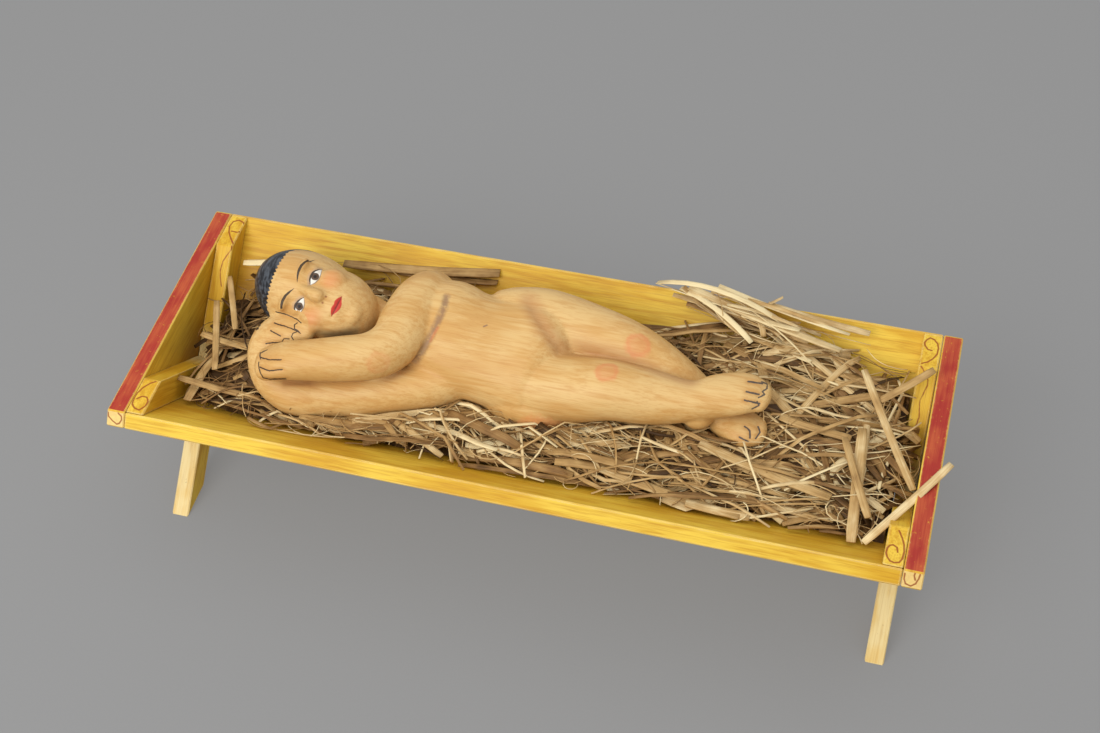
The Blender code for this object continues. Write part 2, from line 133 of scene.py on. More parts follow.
LEFT_LEG = (
    (-22, 33, 2, 16, 17.5),
    (-3, 33.5, 3.5, 17.5, 18.5),
    (20, 31, 3, 17, 16.5),
    (46, 26, 3, 14.5, 14),
    (68, 20, -3, 12.5, 12),
    (88, 14, -12, 9.5, 9),
    (103, 4, -14, 10.5, 8),
    (114, -1, -12, 11.5, 6.5),
    (121, -1, -12, 9, 4.5),
)
# Forms that fill the figure out: middle and radii
SEAT = (((-1, -4, -13), (30, 21, 17)), ((2, 27, -9), (26, 20, 17)))
HEEL = (((89, -2, -5), (9, 9, 8)), ((92, 10, -19), (8, 7, 6)))
UNDER_CHIN = (((-108, -8, -7), (30, 15, 9)),)

# The head's own frame: its middle, the way the face looks and the way the crown points
HEAD_MIDDLE = (-128, 16.5, 9)
FACE_WAY = Vector((0.10, -0.50, 0.86))
CROWN_WAY = Vector((-0.96, 0.18, 0.22))
# Forms of the head: side, forward, height, then the three radii
SKULL = ((0, -2, 6, 23.5, 27.5, 31), (0, 5, -13, 21, 21.5, 24))
FACE = (
    (0, 17, -26, 7.5, 6.5, 6),
    (-9.5, 18, -9, 9, 7, 9),
    (9.5, 18, -9, 9, 7, 9),
    (-8.5, 21.5, 9, 8, 4, 2.6),
    (8.5, 21.5, 9, 8, 4, 2.6),
    (-9, 19.8, 2, 5.6, 4.4, 3.4),
    (9, 19.8, 2, 5.6, 4.4, 3.4),
    (0, 23, -16, 6.4, 2.8, 2),
    (0, 22.6, -18.8, 5.2, 2.8, 2),
)
# Nose stations: height, forward, half width, half depth
NOSE = ((4, 23, 2.4, 3.2), (-2, 25.5, 3, 3.8), (-7, 27, 4, 4.2))
RING_POINTS = 24
STEPS = 6  # rings between two stations
SKIN_VOXEL = 0.8
SKIN_SOFTENED = 14  # times
HEAD_REACH = 46  # from the head's middle
RELIEF_REACH = 45
LINE_REACH = 5  # from a painted line

# Painted lines on the hands, as points on the skin
FINGER_LINES = (
    ((-141.3, -10.1, 16.2), (-134.2, -11.9, 17.4), (-127.1, -13.2, 17.2), (-124.8, -13.9, 16.5)),
    ((-142.0, -14.6, 14.8), (-135.4, -16.9, 14.8)),
    ((-143.5, -20.1, 10.0), (-138.5, -20.6, 12.8), (-133.5, -20.0, 13.6)),
    ((-139.1, -35.2, 17.8), (-132.7, -37.4, 20.3), (-125.3, -37.4, 22.3)),
    ((-137.1, -40.8, 16.8), (-131.0, -42.4, 17.4), (-123.9, -41.4, 19.4)),
    ((-134.5, -44.4, 12.9), (-130.7, -44.1, 12.7), (-122.4, -42.6, 13.5)),
)
FINGERTIP_LINES = (
    ((-128.0, -9.1, 18.6), (-129.3, -10.4, 18.1), (-128.7, -12.3, 17.7), (-125.3, -13.5, 16.8)),
    ((-126.6, -13.5, 17.0), (-128.7, -15.1, 16.5), (-129.3, -16.5, 15.4), (-127.9, -17.3, 14.1)),
    ((-134.2, -18.7, 12.8), (-133.0, -17.7, 14.2), (-130.3, -17.6, 14.4)),
    ((-138.5, -27.5, 15.0), (-140.6, -31.9, 17.0), (-139.9, -33.9, 17.0), (-138.5, -36.3, 18.0)),
    ((-139.0, -37.9, 17.2), (-138.3, -40.0, 16.8), (-136.8, -42.7, 15.3), (-134.7, -44.3, 13.2)),
)
TOE_LINES = (
    ((112.2, 10.8, 12.5), (119.2, 13.1, 10.0)),
    ((112.6, 4.2, 12.4), (118.9, 5.4, 10.5)),
    ((112.6, -0.3, 11.0), (120.2, 1.3, 8.4)),
    ((114.0, -4.1, -6.0), (117.1, -5.7, -6.8), (117.9, -9.1, -8.3)),
    ((112.4, -9.8, -8.3), (117.3, -10.7, -9.5)),
    ((120.6, -1.8, -7.3), (122.1, -4.1, -8.2), (120.7, -8.3, -9.0)),
)
TOE_TIP_LINES = (
    ((118.6, 14.1, 10.0), (121.4, 15.0, 8.0), (121.9, 12.0, 8.0), (120.3, 7.9, 10.1)),
    ((120.3, 7.9, 10.1), (121.6, 6.8, 9.4), (119.0, 3.7, 10.0)),
    ((118.8, 1.6, 9.3), (120.1, 0.6, 7.8), (117.0, -2.0, 7.1)),
)
# The way the skin lies at the hands and at the feet, and how far marks there reach into it
HAND_FACING = (0.363, -0.549, 0.753)
FOOT_FACING = (0.092, -0.592, 0.800)
THROUGH = 0.98
HAND_EDGE = ((-142.8, -3.5, 17.5), (-136.0, -5.2, 19.0), (-129.1, -7.0, 19.0), (-125.7, -9.0, 19.1))
UNDER_FOREARM = (
    (-126.9, -37.0, 1.9),
    (-115.4, -33.3, 1.3),
    (-101.7, -38.1, 8.0),
    (-87.1, -34.2, 8.0),
    (-80.5, -30.3, 7.0),
    (-71.9, -20.2, 4.4),
    (-62.4, -12.5, 8.1),
)
BESIDE_UPPER_ARM = (
    (-62.4, -12.5, 8.1),
    (-58.3, -8.7, 13.4),
    (-54.8, -1.5, 19.1),
    (-52.8, 6.9, 23.1),
    (-52.1, 14.3, 24.8),
    (-53.1, 21.5, 25.1),
)


def chin_crease():
    """The line midway between the jaw's own form and the forearm that lies under it."""
    _, forward, height, jaw_width = SKULL[1][:4]
    jaw = Vector(HEAD_MIDDLE) + forward * FACE_WAY + height * CROWN_WAY
    line = []
    for *middle, arm_width, _ in LEFT_ARM[4:7]:
        middle = Vector(middle)
        way = jaw - middle
        room = way.length - arm_width - jaw_width
        line.append(tuple(middle + way.normalized() * (arm_width + room / 2)))
    return tuple(line)


UNDER_CHIN_GAP = chin_crease()
RED_TOUCH = ((-55.0, -4.0, 17.5), (-52.4, 2.5, 21.0))
GROIN = ((-10.9, 32.0, 21.2), (-4.2, 22.7, 21.9), (2.7, 15.3, 20.6), (8.5, 11.1, 16.8), (11.6, 9.9, 13.5))
BETWEEN_LEGS = (
    (11.6, 9.9, 13.5),
    (26.7, 14.3, 9.1),
    (46.8, 11.5, 10.4),
    (67.4, 7.3, 10.0),
    (82.4, 5.0, 10.0),
)
NAVEL = (-28.2, 9.2, 21.3)
KNEE_SPOTS = (((40.8, -1.8, 16.3), 7.5), ((52.0, 19.8, 14.7), 8.0))
ELBOW_SPOT = ((-75.1, -27.2, 21.0), 7.5)
SEAT_SPOT = ((8.0, -22.0, -20.0), 16.0)

# Chosen stalks: both ends, width and paleness
CHOSEN_STALKS = (
    ((184, -58, -9), (219, -13, 7), 4.6, 0.75),
    ((178, -59, -9), (173, 7, -4), 6.0, 0.60),
    ((184, -45, -6), (165, -2, -2), 4.6, 0.55),
    ((203, -25, -4), (168, 37, 6), 4.4, 0.60),
    ((179, 22, 2), (203, 45, 6), 4.4, 0.50),
    ((68, 70, 9), (154, 47, 6), 5.5, 0.75),
    ((77, 66, 4), (131, 54, 8), 4.5, 0.85),
    ((84, 71, 13), (157, 57, 8), 3.2, 0.90),
    ((111, 72, 4), (167, 65, 2), 4.0, 0.65),
    ((-189, 48, -10), (-157, 56, -9), 4.6, 0.95),
    ((-130, 57, -6), (-39.7, 67, -3.1), 6.5, 0.45),
    ((-97.9, 60, -8.3), (-40.2, 63, -6.8), 5.0, 0.35),
    ((93, -17, -10), (164, -36, -8), 6.0, 0.60),
    ((94, -54, -11), (127, -55, -11), 5.0, 0.70),
    ((-118, -47, -12), (-25, -40, -11), 4.6, 0.45),
    ((-63, -42, -12), (23, -35, -12), 4.4, 0.55),
    ((47, -43, -12), (122, -56, -11), 5.4, 0.60),
    ((-194, -36, -14), (-144, -40, -13), 4.2, 0.45),
    ((-194, -4, -14), (-163, -9, -13), 4.2, 0.55),
    ((-194, 19, -12), (-176, -27, -13), 4.0, 0.50),
    ((-194, 38, -12), (-177, 4, -15), 3.6, 0.55),
    ((130, 9, -10), (168, 3, -9), 5.0, 0.50),
)


class Value:
    """A number, point or colour that varies over a surface; arithmetic on it adds Math nodes."""

    def __init__(self, tree, socket):
        self.tree = tree
        self.socket = socket

    def math(self, operation, *others):
        node = self.tree.nodes.new("ShaderNodeMath")
        node.operation = operation
        for place, given in enumerate((self, *others)):
            plug(self.tree, node.inputs[place], given)
        return Value(self.tree, node.outputs[0])

    def vector(self, operation, *others):
        node = self.tree.nodes.new("ShaderNodeVectorMath")
        node.operation = operation
        for place, given in enumerate((self, *others)):
            plug(self.tree, node.inputs[place], given)
        gives_number = operation in ("DOT_PRODUCT", "LENGTH", "DISTANCE")
        return Value(self.tree, node.outputs["Value" if gives_number else "Vector"])

    def times(self, number):
        """The point, multiplied by one number."""
        node = self.tree.nodes.new("ShaderNodeVectorMath")
        node.operation = "SCALE"
        plug(self.tree, node.inputs[0], self)
        plug(self.tree, node.inputs["Scale"], number)
        return Value(self.tree, node.outputs["Vector"])

    def parts(self):
        node = self.tree.nodes.new("ShaderNodeSeparateXYZ")
        plug(self.tree, node.inputs[0], self)
        return [Value(self.tree, out) for out in node.outputs]

    def __add__(self, other):
        return self.math("ADD", other)

    def __sub__(self, other):
        return self.math("SUBTRACT", other)

    def __mul__(self, other):
        return self.math("MULTIPLY", other)

    def __truediv__(self, other):
        return self.math("DIVIDE", other)

    def __abs__(self):
        return self.math("ABSOLUTE")

    def at_least(self, other):
        return self.math("MAXIMUM", other)

    def inverse(self):
        return self * -1 + 1


def plug(tree, socket, given):
    """Links a value to a socket, or sets a plain one."""
    if isinstance(given, Value):
        tree.links.new(given.socket, socket)
    elif socket.type == "RGBA" and len(given) == 3:
        socket.default_value = (*given, 1)
    else:
        socket.default_value = given


def fade(value, full, none):
    """1 where the value has reached full, 0 where it has reached none, and smooth between."""
    node = value.tree.nodes.new("ShaderNodeMapRange")
    node.interpolation_type = "SMOOTHSTEP"
    plug(value.tree, node.inputs["Value"], value)
    plug(value.tree, node.inputs["From Min"], none)
    plug(value.tree, node.inputs["From Max"], full)
    return Value(value.tree, node.outputs["Result"])


def blend(share, under, over):
    """The colour under, covered by the colour over as far as share says."""
    node = share.tree.nodes.new("ShaderNodeMix")
    node.data_type = "RGBA"
    plug(share.tree, node.inputs["Factor"], share)
    colours = [socket for socket in node.inputs if socket.type == "RGBA"]
    plug(share.tree, colours[0], under)
    plug(share.tree, colours[1], over)
    outputs = [socket for socket in node.outputs if socket.type == "RGBA"]
    return Value(share.tree, outputs[0])


def noise_at(point, stretch, detail=2.0, roughness=0.5):
    """Noise at a point that has first been multiplied by stretch."""
    node = point.tree.nodes.new("ShaderNodeTexNoise")
    plug(point.tree, node.inputs["Vector"], point.vector("MULTIPLY", stretch))
    node.inputs["Scale"].default_value = 1.0
    node.inputs["Detail"].default_value = detail
    node.inputs["Roughness"].default_value = roughness
    return Value(point.tree, node.outputs["Fac"])


def new_group(name, inputs, outputs):
    """A shader node group with named sockets: its tree, its inputs and its output node."""
    tree = bpy.data.node_groups.new(name, "ShaderNodeTree")
    for label, kind, default in inputs:
        socket = tree.interface.new_socket(label, in_out="INPUT", socket_type="NodeSocket" + kind)
        socket.default_value = default
    for label, kind in outputs:
        tree.interface.new_socket(label, in_out="OUTPUT", socket_type="NodeSocket" + kind)
    entry = tree.nodes.new("NodeGroupInput")
    leave = tree.nodes.new("NodeGroupOutput")
    return tree, {label: Value(tree, entry.outputs[label]) for label, *_ in inputs}, leave


def use_group(tree, name, **given):
    """Places a group in a tree; names of inputs have underscores for spaces."""
    node = tree.nodes.new("ShaderNodeGroup")
    node.node_tree = bpy.data.node_groups[name]
    for label, value in given.items():
        plug(tree, node.inputs[label.replace("_", " ")], value)
    return {out.name: Value(tree, out) for out in node.outputs}


def make_rim_point_group():
    tree, _, leave = new_group("rim point", [], [("Point", "Vector")])
    coordinates = Value(tree, tree.nodes.new("ShaderNodeTexCoord").outputs["Object"])
    point = coordinates.vector("SUBTRACT", (0, 0, RIM_HEIGHT)).times(1 / MILLIMETRE)
    plug(tree, leave.inputs["Point"], point)


def make_painted_line_group():
    inputs = [
        ("Point", "Vector", (0, 0, 0)),
        ("Start", "Vector", (0, 0, 0)),
        ("End", "Vector", (1, 0, 0)),
        ("Width", "Float", 0.8),
        ("Softness", "Float", 0.2),
        ("Through", "Vector", (0, 0, 0)),
        ("Before", "Float", 0.0),
    ]
    tree, value, leave = new_group("painted line", inputs, [("Mask", "Float")])
    through = value["Through"]
    way = value["End"].vector("SUBTRACT", value["Start"])
    way = way.vector("SUBTRACT", through.times(way.vector("DOT_PRODUCT", through)))
    along = value["Point"].vector("SUBTRACT", value["Start"])
    along = along.vector("SUBTRACT", through.times(along.vector("DOT_PRODUCT", through)))
    share = along.vector("DOT_PRODUCT", way) / way.vector("DOT_PRODUCT", way)
    share = share.math("MINIMUM", 1).at_least(0)
    away = along.vector("SUBTRACT", way.times(share)).vector("LENGTH")
    inner = value["Width"] * (value["Softness"] * -1 + 0.5)
    outer = value["Width"] * (value["Softness"] + 0.5)
    plug(tree, leave.inputs["Mask"], fade(away, inner, outer).at_least(value["Before"]))


def make_painted_spot_group():
    inputs = [
        ("Point", "Vector", (0, 0, 0)),
        ("Centre", "Vector", (0, 0, 0)),
        ("Radius", "Float", 7.0),
        ("Ring", "Float", 0.5),
    ]
    tree, value, leave = new_group("painted spot", inputs, [("Mask", "Float")])
    ragged = noise_at(value["Point"], (0.35, 0.35, 0.35), 3.0) * 0.5 - 0.25
    away = value["Point"].vector("DISTANCE", value["Centre"]) / value["Radius"] + ragged
    ring = fade(abs(away - 0.68), 0.0, 0.32)
    body = fade(away, 0.72, 1.02)
    mask = body * (ring * value["Ring"] + value["Ring"].inverse())
    plug(tree, leave.inputs["Mask"], mask)


def make_brushed_paint_group():
    """Thin paint brushed on wood along the grain: blotches, brush marks and grain lines."""
    inputs = [
        ("Point", "Vector", (0, 0, 0)),
        ("Pale", "Color", (1, 1, 1, 1)),
        ("Middle", "Color", (0.8, 0.8, 0.8, 1)),
        ("Deep", "Color", (0.3, 0.3, 0.3, 1)),
        ("Grain", "Float", 0.4),
        ("Patch Size", "Float", 22.0),
    ]
    outputs = [("Color", "Color"), ("Roughness", "Float"), ("Height", "Float")]
    tree, value, leave = new_group("brushed paint", inputs, outputs)
    point = value["Point"]
    patches = noise_at(point.times(value["Patch Size"].math("POWER", -1)), (0.6, 1, 1), 2.0)
    marks = noise_at(point, (0.028, 0.42, 0.42), 3.0, 0.6)
    lines = noise_at(point, (0.045, 1.5, 1.5), 2.0, 0.6)
    colour = blend(fade(patches * 0.6 + marks * 0.4, 0.62, 0.40), value["Middle"], value["Pale"])
    colour = blend(fade(marks, 0.38, 0.50) * 0.55 * value["Grain"], colour, value["Deep"])
    colour = blend(fade(lines, 0.36, 0.50) * value["Grain"], colour, value["Deep"])
    plug(tree, leave.inputs["Color"], colour)
    plug(tree, leave.inputs["Roughness"], lines * 0.22 + patches * 0.16 + 0.24)
    plug(tree, leave.inputs["Height"], lines * 0.6 + marks * 0.4)


def make_rubbed_edge_group():
    """Where an edge stands out, paint is rubbed thin."""
    inputs = [("Point", "Vector", (0, 0, 0)), ("Amount", "Float", 0.5)]
    tree, value, leave = new_group("rubbed edge", inputs, [("Mask", "Float")])
    rounded = tree.nodes.new("ShaderNodeBevel")
    rounded.samples = 4
    rounded.inputs["Radius"].default_value = 1.2 * MILLIMETRE
    flat = Value(tree, tree.nodes.new("ShaderNodeNewGeometry").outputs["Normal"])
    turned = flat.vector("DOT_PRODUCT", Value(tree, rounded.outputs["Normal"])).inverse()
    broken = noise_at(value["Point"], (0.10, 0.5, 0.5), 4.0, 0.65)
    mask = fade(turned + broken * 0.22, 0.24, 0.14) * value["Amount"]
    plug(tree, leave.inputs["Mask"], mask)


def make_straw_group():
    """Dry straw: long fibres, and a tone for each stalk from brown to nearly white."""
    inputs = [("Lengthways", "Vector", (0, 0, 0)), ("Tone", "Float", 0.5)]
    outputs = [("Color", "Color"), ("Roughness", "Float"), ("Height", "Float")]
    tree, value, leave = new_group("straw fibres", inputs, outputs)
    fibres = noise_at(value["Lengthways"], (2.6, 0.05, 1), 3.0, 0.6)
    stains = noise_at(value["Lengthways"], (0.15, 0.09, 1), 2.0)
    tone = value["Tone"] + (stains - 0.5) * 0.60 + (fibres - 0.5) * 0.60
    colour = blend(fade(tone, 0.30, 0.0), (0.055, 0.026, 0.008), (0.24, 0.125, 0.040))
    colour = blend(fade(tone, 0.60, 0.25), colour, (0.49, 0.305, 0.115))
    colour = blend(fade(tone, 0.98, 0.52), colour, (0.82, 0.67, 0.38))
    plug(tree, leave.inputs["Color"], colour)
    plug(tree, leave.inputs["Roughness"], stains * 0.25 + 0.42)
    plug(tree, leave.inputs["Height"], fibres)


def new_material(name):
    made = bpy.data.materials.new(name)
    made.use_nodes = True
    tree = made.node_tree
    return made, tree, tree.nodes["Principled BSDF"]


SHEEN = 0.22
# How high the grain stands, in metres
FLESH_RELIEF = 0.00012
BOARD_RELIEF = 0.00018
STALK_RELIEF = 0.00025
MATTING_RELIEF = 0.001


def lay_on(tree, shader, colour, roughness, height, relief):
    """Sends colour, roughness and relief, a height in metres, to the shader."""
    bump = tree.nodes.new("ShaderNodeBump")
    bump.inputs["Strength"].default_value = 1.0
    bump.inputs["Distance"].default_value = relief
    plug(tree, bump.inputs["Height"], height)
    shader.inputs["Specular IOR Level"].default_value = SHEEN
    plug(tree, shader.inputs["Base Color"], colour)
    plug(tree, shader.inputs["Roughness"], roughness)
    tree.links.new(bump.outputs["Normal"], shader.inputs["Normal"])


def rim_point(tree):
    return use_group(tree, "rim point")["Point"]


def wobbled(point, amount):
    """The point, moved a little this way and that, as a hand-held brush moves."""
    node = point.tree.nodes.new("ShaderNodeTexNoise")
    plug(point.tree, node.inputs["Vector"], point)
    node.inputs["Scale"].default_value = 0.5
    shift = Value(point.tree, node.outputs["Color"]).vector("SUBTRACT", (0.5, 0.5, 0.5))
    return point.vector("ADD", shift.times(amount))


def drawn_lines(tree, point, lines, width, softness=0.2, skin_way=None):
    """The mask of painted lines through the given points, for skin that lies the given way."""
    mask = 0.0
    through = Vector(skin_way).normalized() * THROUGH if skin_way else (0, 0, 0)
    for line in lines:
        for start, end in zip(line, line[1:]):
            mask = use_group(
                tree,
                "painted line",
                Point=point,
                Start=start,
                End=end,
                Width=width,
                Softness=softness,
                Through=through,
                Before=mask,
            )["Mask"]
    return mask


FLESH_PALE = (0.66, 0.44, 0.18)
FLESH = (0.58, 0.335, 0.110)
FLESH_DEEP = (0.47, 0.213, 0.056)
BLUSH = (0.64, 0.19, 0.075)
# black of the painted lines, also used for the painted shade in the chin gap
BLACK_PAINT_AND_SHADE = (0.020, 0.015, 0.014)
GREY_BROWN = (0.24, 0.14, 0.085)
# brown of the painted shade in the body's creases
CREASE_SHADE_BROWN = (0.36, 0.15, 0.06)


def brushed(tree, point, colours, grain, patch_size):
    """Brushed paint in its pale, middle and deep colours."""
    pale, middle, deep = colours
    return use_group(
        tree,
        "brushed paint",
        Point=point,
        Pale=pale,
        Middle=middle,
        Deep=deep,
        Grain=grain,
        Patch_Size=patch_size,
    )


def painted_chin_shade(tree, point, colour):
    """The colour, with painted shade darkening the gap between chin and forearm."""
    gap = drawn_lines(tree, point, (UNDER_CHIN_GAP,), 8.0, 0.3)
    return blend(gap * 0.85, colour, BLACK_PAINT_AND_SHADE)


def flesh(tree, point):
    return brushed(tree, point, (FLESH_PALE, FLESH, FLESH_DEEP), 0.30, 24.0)


def make_skin():
    made, tree, shader = new_material("flesh paint on carved wood")
    point = rim_point(tree)
    paint = flesh(tree, point)
    colour = paint["Color"]
    # painted shade: brown darkening along the groin, between the legs and under the forearm
    shade = drawn_lines(tree, point, (GROIN, BETWEEN_LEGS), 9.0, 0.5)
    colour = blend(shade * 0.50, colour, CREASE_SHADE_BROWN)
    forearm_shade = drawn_lines(tree, point, (UNDER_FOREARM,), 5.0, 0.5)
    colour = blend(forearm_shade * 0.55, colour, CREASE_SHADE_BROWN)
    band = drawn_lines(tree, wobbled(point, 1.2), (BESIDE_UPPER_ARM,), 3.6, 0.42)
    speckle = fade(noise_at(point, (0.55, 0.55, 0.55), 2.0), 0.68, 0.50)
    colour = blend(band * (speckle * -0.35 + 0.78), colour, GREY_BROWN)
    touch = drawn_lines(tree, point, (RED_TOUCH,), 1.8, 0.45)
    colour = blend(touch * 0.45, colour, BLUSH)
    spots = (*KNEE_SPOTS, ELBOW_SPOT, SEAT_SPOT)
    for (centre, radius), ring, strength in zip(spots, (0.4, 0.4, 0.5, 0.0), (0.5, 0.5, 0.22, 0.4)):
        spot = use_group(tree, "painted spot", Point=point, Centre=centre, Radius=radius, Ring=ring)
        colour = blend(spot["Mask"] * strength, colour, BLUSH)
    x, y, z = NAVEL
    navel = drawn_lines(tree, point, (((x - 0.6, y - 0.5, z), (x + 0.8, y + 0.7, z)),), 0.9)
    colour = blend(navel * 0.8, colour, GREY_BROWN)
    colour = painted_chin_shade(tree, point, colour)
    lay_on(tree, shader, colour, paint["Roughness"], paint["Height"], FLESH_RELIEF)
    return made


def make_marked_skin(name, strong, fine, skin_way, width, ink):
    """Flesh paint with the dark lines that mark fingers or toes."""
    made, tree, shader = new_material(name)
    point = rim_point(tree)
    paint = flesh(tree, point)
    shaky = wobbled(point, 0.7)
    # painted shade: a soft darker band along the finger and toe grooves
    shade = drawn_lines(tree, point, strong, 3.2, 0.5, skin_way)
    colour = blend(shade * 0.35, paint["Color"], FLESH_DEEP)
    mask = drawn_lines(tree, shaky, strong, width, 0.2, skin_way)
    mask = mask.at_least(drawn_lines(tree, shaky, fine, width * 0.85, 0.2, skin_way))
    colour = painted_chin_shade(tree, point, blend(mask * 0.92, colour, ink))
    lay_on(tree, shader, colour, paint["Roughness"], paint["Height"], FLESH_RELIEF)
    return made


def head_axes():
    face = FACE_WAY.normalized()
    crown = (CROWN_WAY - face * CROWN_WAY.dot(face)).normalized()
    return crown.cross(face), face, crown


def squared(value):
    return value * value


def distance(across, up):
    return (squared(across) + squared(up)).math("SQRT")


def leaf(across, up, half_width, above, below, softness=0.25):
    """A pointed leaf shape about the origin: how far it reaches above and below its long axis."""
    bow = squared(across / half_width).inverse()
    top = fade(up - bow * above, -softness, softness)
    foot = fade(up + bow * below, softness, -softness)
    return top * foot


def arc(across, up, half_width, rise, width, softness=0.25):
    """A bowed line about the origin, thinner at its ends."""
    bow = squared(across / half_width).inverse()
    away = abs(up - bow * rise) - bow.at_least(0.0) * (width / 2)
    return fade(away, 0.0, softness) * fade(abs(across), half_width, half_width + 0.3)


def make_head_paint():
    """Flesh paint with a plain painted face and a cap of black hair with a notched front edge."""
    made, tree, shader = new_material("painted head")
    point = rim_point(tree)
    paint = flesh(tree, point)
    colour = paint["Color"]
    shaky = wobbled(point, 0.5).vector("SUBTRACT", HEAD_MIDDLE)
    side, forward, height = (shaky.vector("DOT_PRODUCT", tuple(axis)) for axis in head_axes())
    front = fade(forward, 6.0, 2.0)
    lateral = abs(side)

    cheek = fade(distance(lateral - 11.5, height + 8.5), 1.0, 8.5)
    colour = blend(cheek * front * 0.45, colour, BLUSH)

    eye_side = lateral - 9.0
    eye_up = height + 0.2
    lid = leaf(eye_side, eye_up - 0.6, 6.4, 3.6, 1.6, 0.9)
    colour = blend(lid * front * 0.45, colour, (0.33, 0.24, 0.20))
    white = leaf(eye_side, eye_up, 5.2, 2.5, 1.9)
    colour = blend(white * front, colour, (0.78, 0.74, 0.66))
    centre = distance(eye_side, eye_up - 0.35)
    colour = blend(fade(centre, 1.9, 2.3) * white * front, colour, (0.09, 0.055, 0.035))
    colour = blend(fade(centre, 0.7, 1.1) * white * front, colour, BLACK_PAINT_AND_SHADE)
    upper = arc(eye_side, eye_up, 5.4, 2.6, 1.0)
    lower = arc(eye_side, eye_up * -1, 5.0, 2.0, 0.5)
    brow = arc(lateral - 9.6, height - 6.8, 7.6, 2.4, 1.3)
    dark = upper.at_least(lower * 0.6).at_least(brow) * front
    colour = blend(dark * 0.92, colour, BLACK_PAINT_AND_SHADE)

    dip = fade(lateral, 0.0, 2.2) * 0.55
    upper_lip = leaf(side, height + 18.4 + dip, 6.2, 2.0, 0.1)
    lower_lip = leaf(side, height + 18.4, 5.4, 0.1, 2.5)
    colour = blend(upper_lip.at_least(lower_lip) * front, colour, (0.50, 0.045, 0.03))
    parting = arc(side, (height + 18.4) * -1, 5.8, 0.3, 0.5)
    colour = blend(parting * front * 0.8, colour, (0.15, 0.02, 0.015))
    nostril = distance(lateral - 1.9, height + 11.3)
    colour = blend(fade(nostril, 0.35, 0.75) * front * 0.7, colour, (0.25, 0.07, 0.03))

    notches = abs((side / 2.1).math("FRACT") - 0.5) * 2.4
    hairline = fade(forward, 13.0, -9.0) * 37.0 - 16.0 + side * 0.13
    hair = fade(height - hairline + notches * fade(forward, 8.0, 2.0), 1.1, 0.5)
    strands = noise_at(shaky, (0.5, 0.12, 0.5), 3.0, 0.6)
    hair_colour = blend(fade(strands, 0.66, 0.42), (0.012, 0.013, 0.016), (0.075, 0.085, 0.10))
    colour = blend(hair, colour, hair_colour)
    colour = painted_chin_shade(tree, point, colour)
    roughness = paint["Roughness"] - hair * 0.10
    lay_on(tree, shader, colour, roughness, paint["Height"], FLESH_RELIEF)
    return made


YELLOW_PALE = (0.76, 0.51, 0.055)
YELLOW = (0.62, 0.345, 0.020)
YELLOW_DEEP = (0.40, 0.155, 0.008)
YELLOW_SHADE = (0.24, 0.085, 0.006)
CREAM_PALE = (0.80, 0.63, 0.30)
CREAM = (0.73, 0.49, 0.155)
CREAM_DEEP = (0.42, 0.24, 0.08)
RED_PALE = (0.46, 0.085, 0.030)
RED = (0.35, 0.030, 0.019)
RED_DEEP = (0.28, 0.016, 0.014)
SCROLL_BROWN = (0.27, 0.055, 0.010)

# Scrolls painted on the legs' tops, with their tails running down the legs
LEG_SCROLLS = (
    (
        (-199.7, 61.4, 0), (-196.2, 61.2, 0), (-193.8, 62.8, 0), (-193.4, 65.6, 0), (-195.3, 69.2, 0),
        (-198.9, 70.4, 0), (-201.6, 68.6, 0), (-202.4, 64.7, 0), (-200.9, 60.2, 0), (-197.6, 55.5, 0),
        (-194.5, 51.7, 0),
    ),
    (
        (-195.0, 50.6, 0), (-195.4, 48.6, -1.9), (-197.2, 45.9, -4.0), (-198.9, 43.3, -6.2),
        (-199.6, 39.1, -9.7), (-198.9, 35.9, -12.3), (-197.3, 32.3, -15.3),
    ),
    (
        (-202.3, -64.0, 0), (-200.1, -61.9, 0), (-197.4, -62.0, 0), (-195.6, -64.6, 0), (-195.8, -67.7, 0),
        (-198.0, -70.9, 0), (-201.0, -70.1, 0), (-203.4, -67.9, 0), (-203.9, -64.4, 0), (-203.8, -60.6, 0),
        (-202.3, -56.6, 0), (-199.7, -52.9, 0), (-197.1, -51.0, 0),
    ),
    (
        (200.0, 62.4, 0), (198.0, 62.7, 0), (196.5, 64.6, 0), (195.6, 66.7, 0), (196.4, 69.0, 0),
        (198.1, 70.8, 0), (200.5, 70.0, 0), (202.5, 67.4, 0), (203.2, 64.6, 0), (203.0, 60.6, 0),
        (201.4, 57.2, 0), (199.1, 54.4, 0), (196.1, 52.7, 0),
    ),
    (
        (196.1, 50.6, 0), (197.4, 49.6, -1.0), (199.1, 47.7, -2.6), (200.8, 45.7, -4.2),
        (200.9, 43.5, -6.0), (198.6, 37.1, -11.4), (199.7, 30.3, -16.9), (198.4, 24.1, -22.1),
    ),
    (
        (200.8, -65.3, 0), (200.2, -62.8, 0), (198.2, -61.7, 0), (196.6, -62.4, 0), (195.7, -64.1, 0),
        (195.5, -66.7, 0), (196.3, -69.0, 0), (197.9, -71.0, 0), (199.9, -71.6, 0), (202.4, -70.9, 0),
        (203.6, -68.3, 0), (203.8, -64.4, 0), (203.2, -60.5, 0), (201.9, -57.0, 0), (199.8, -53.0, 0),
    ),
)
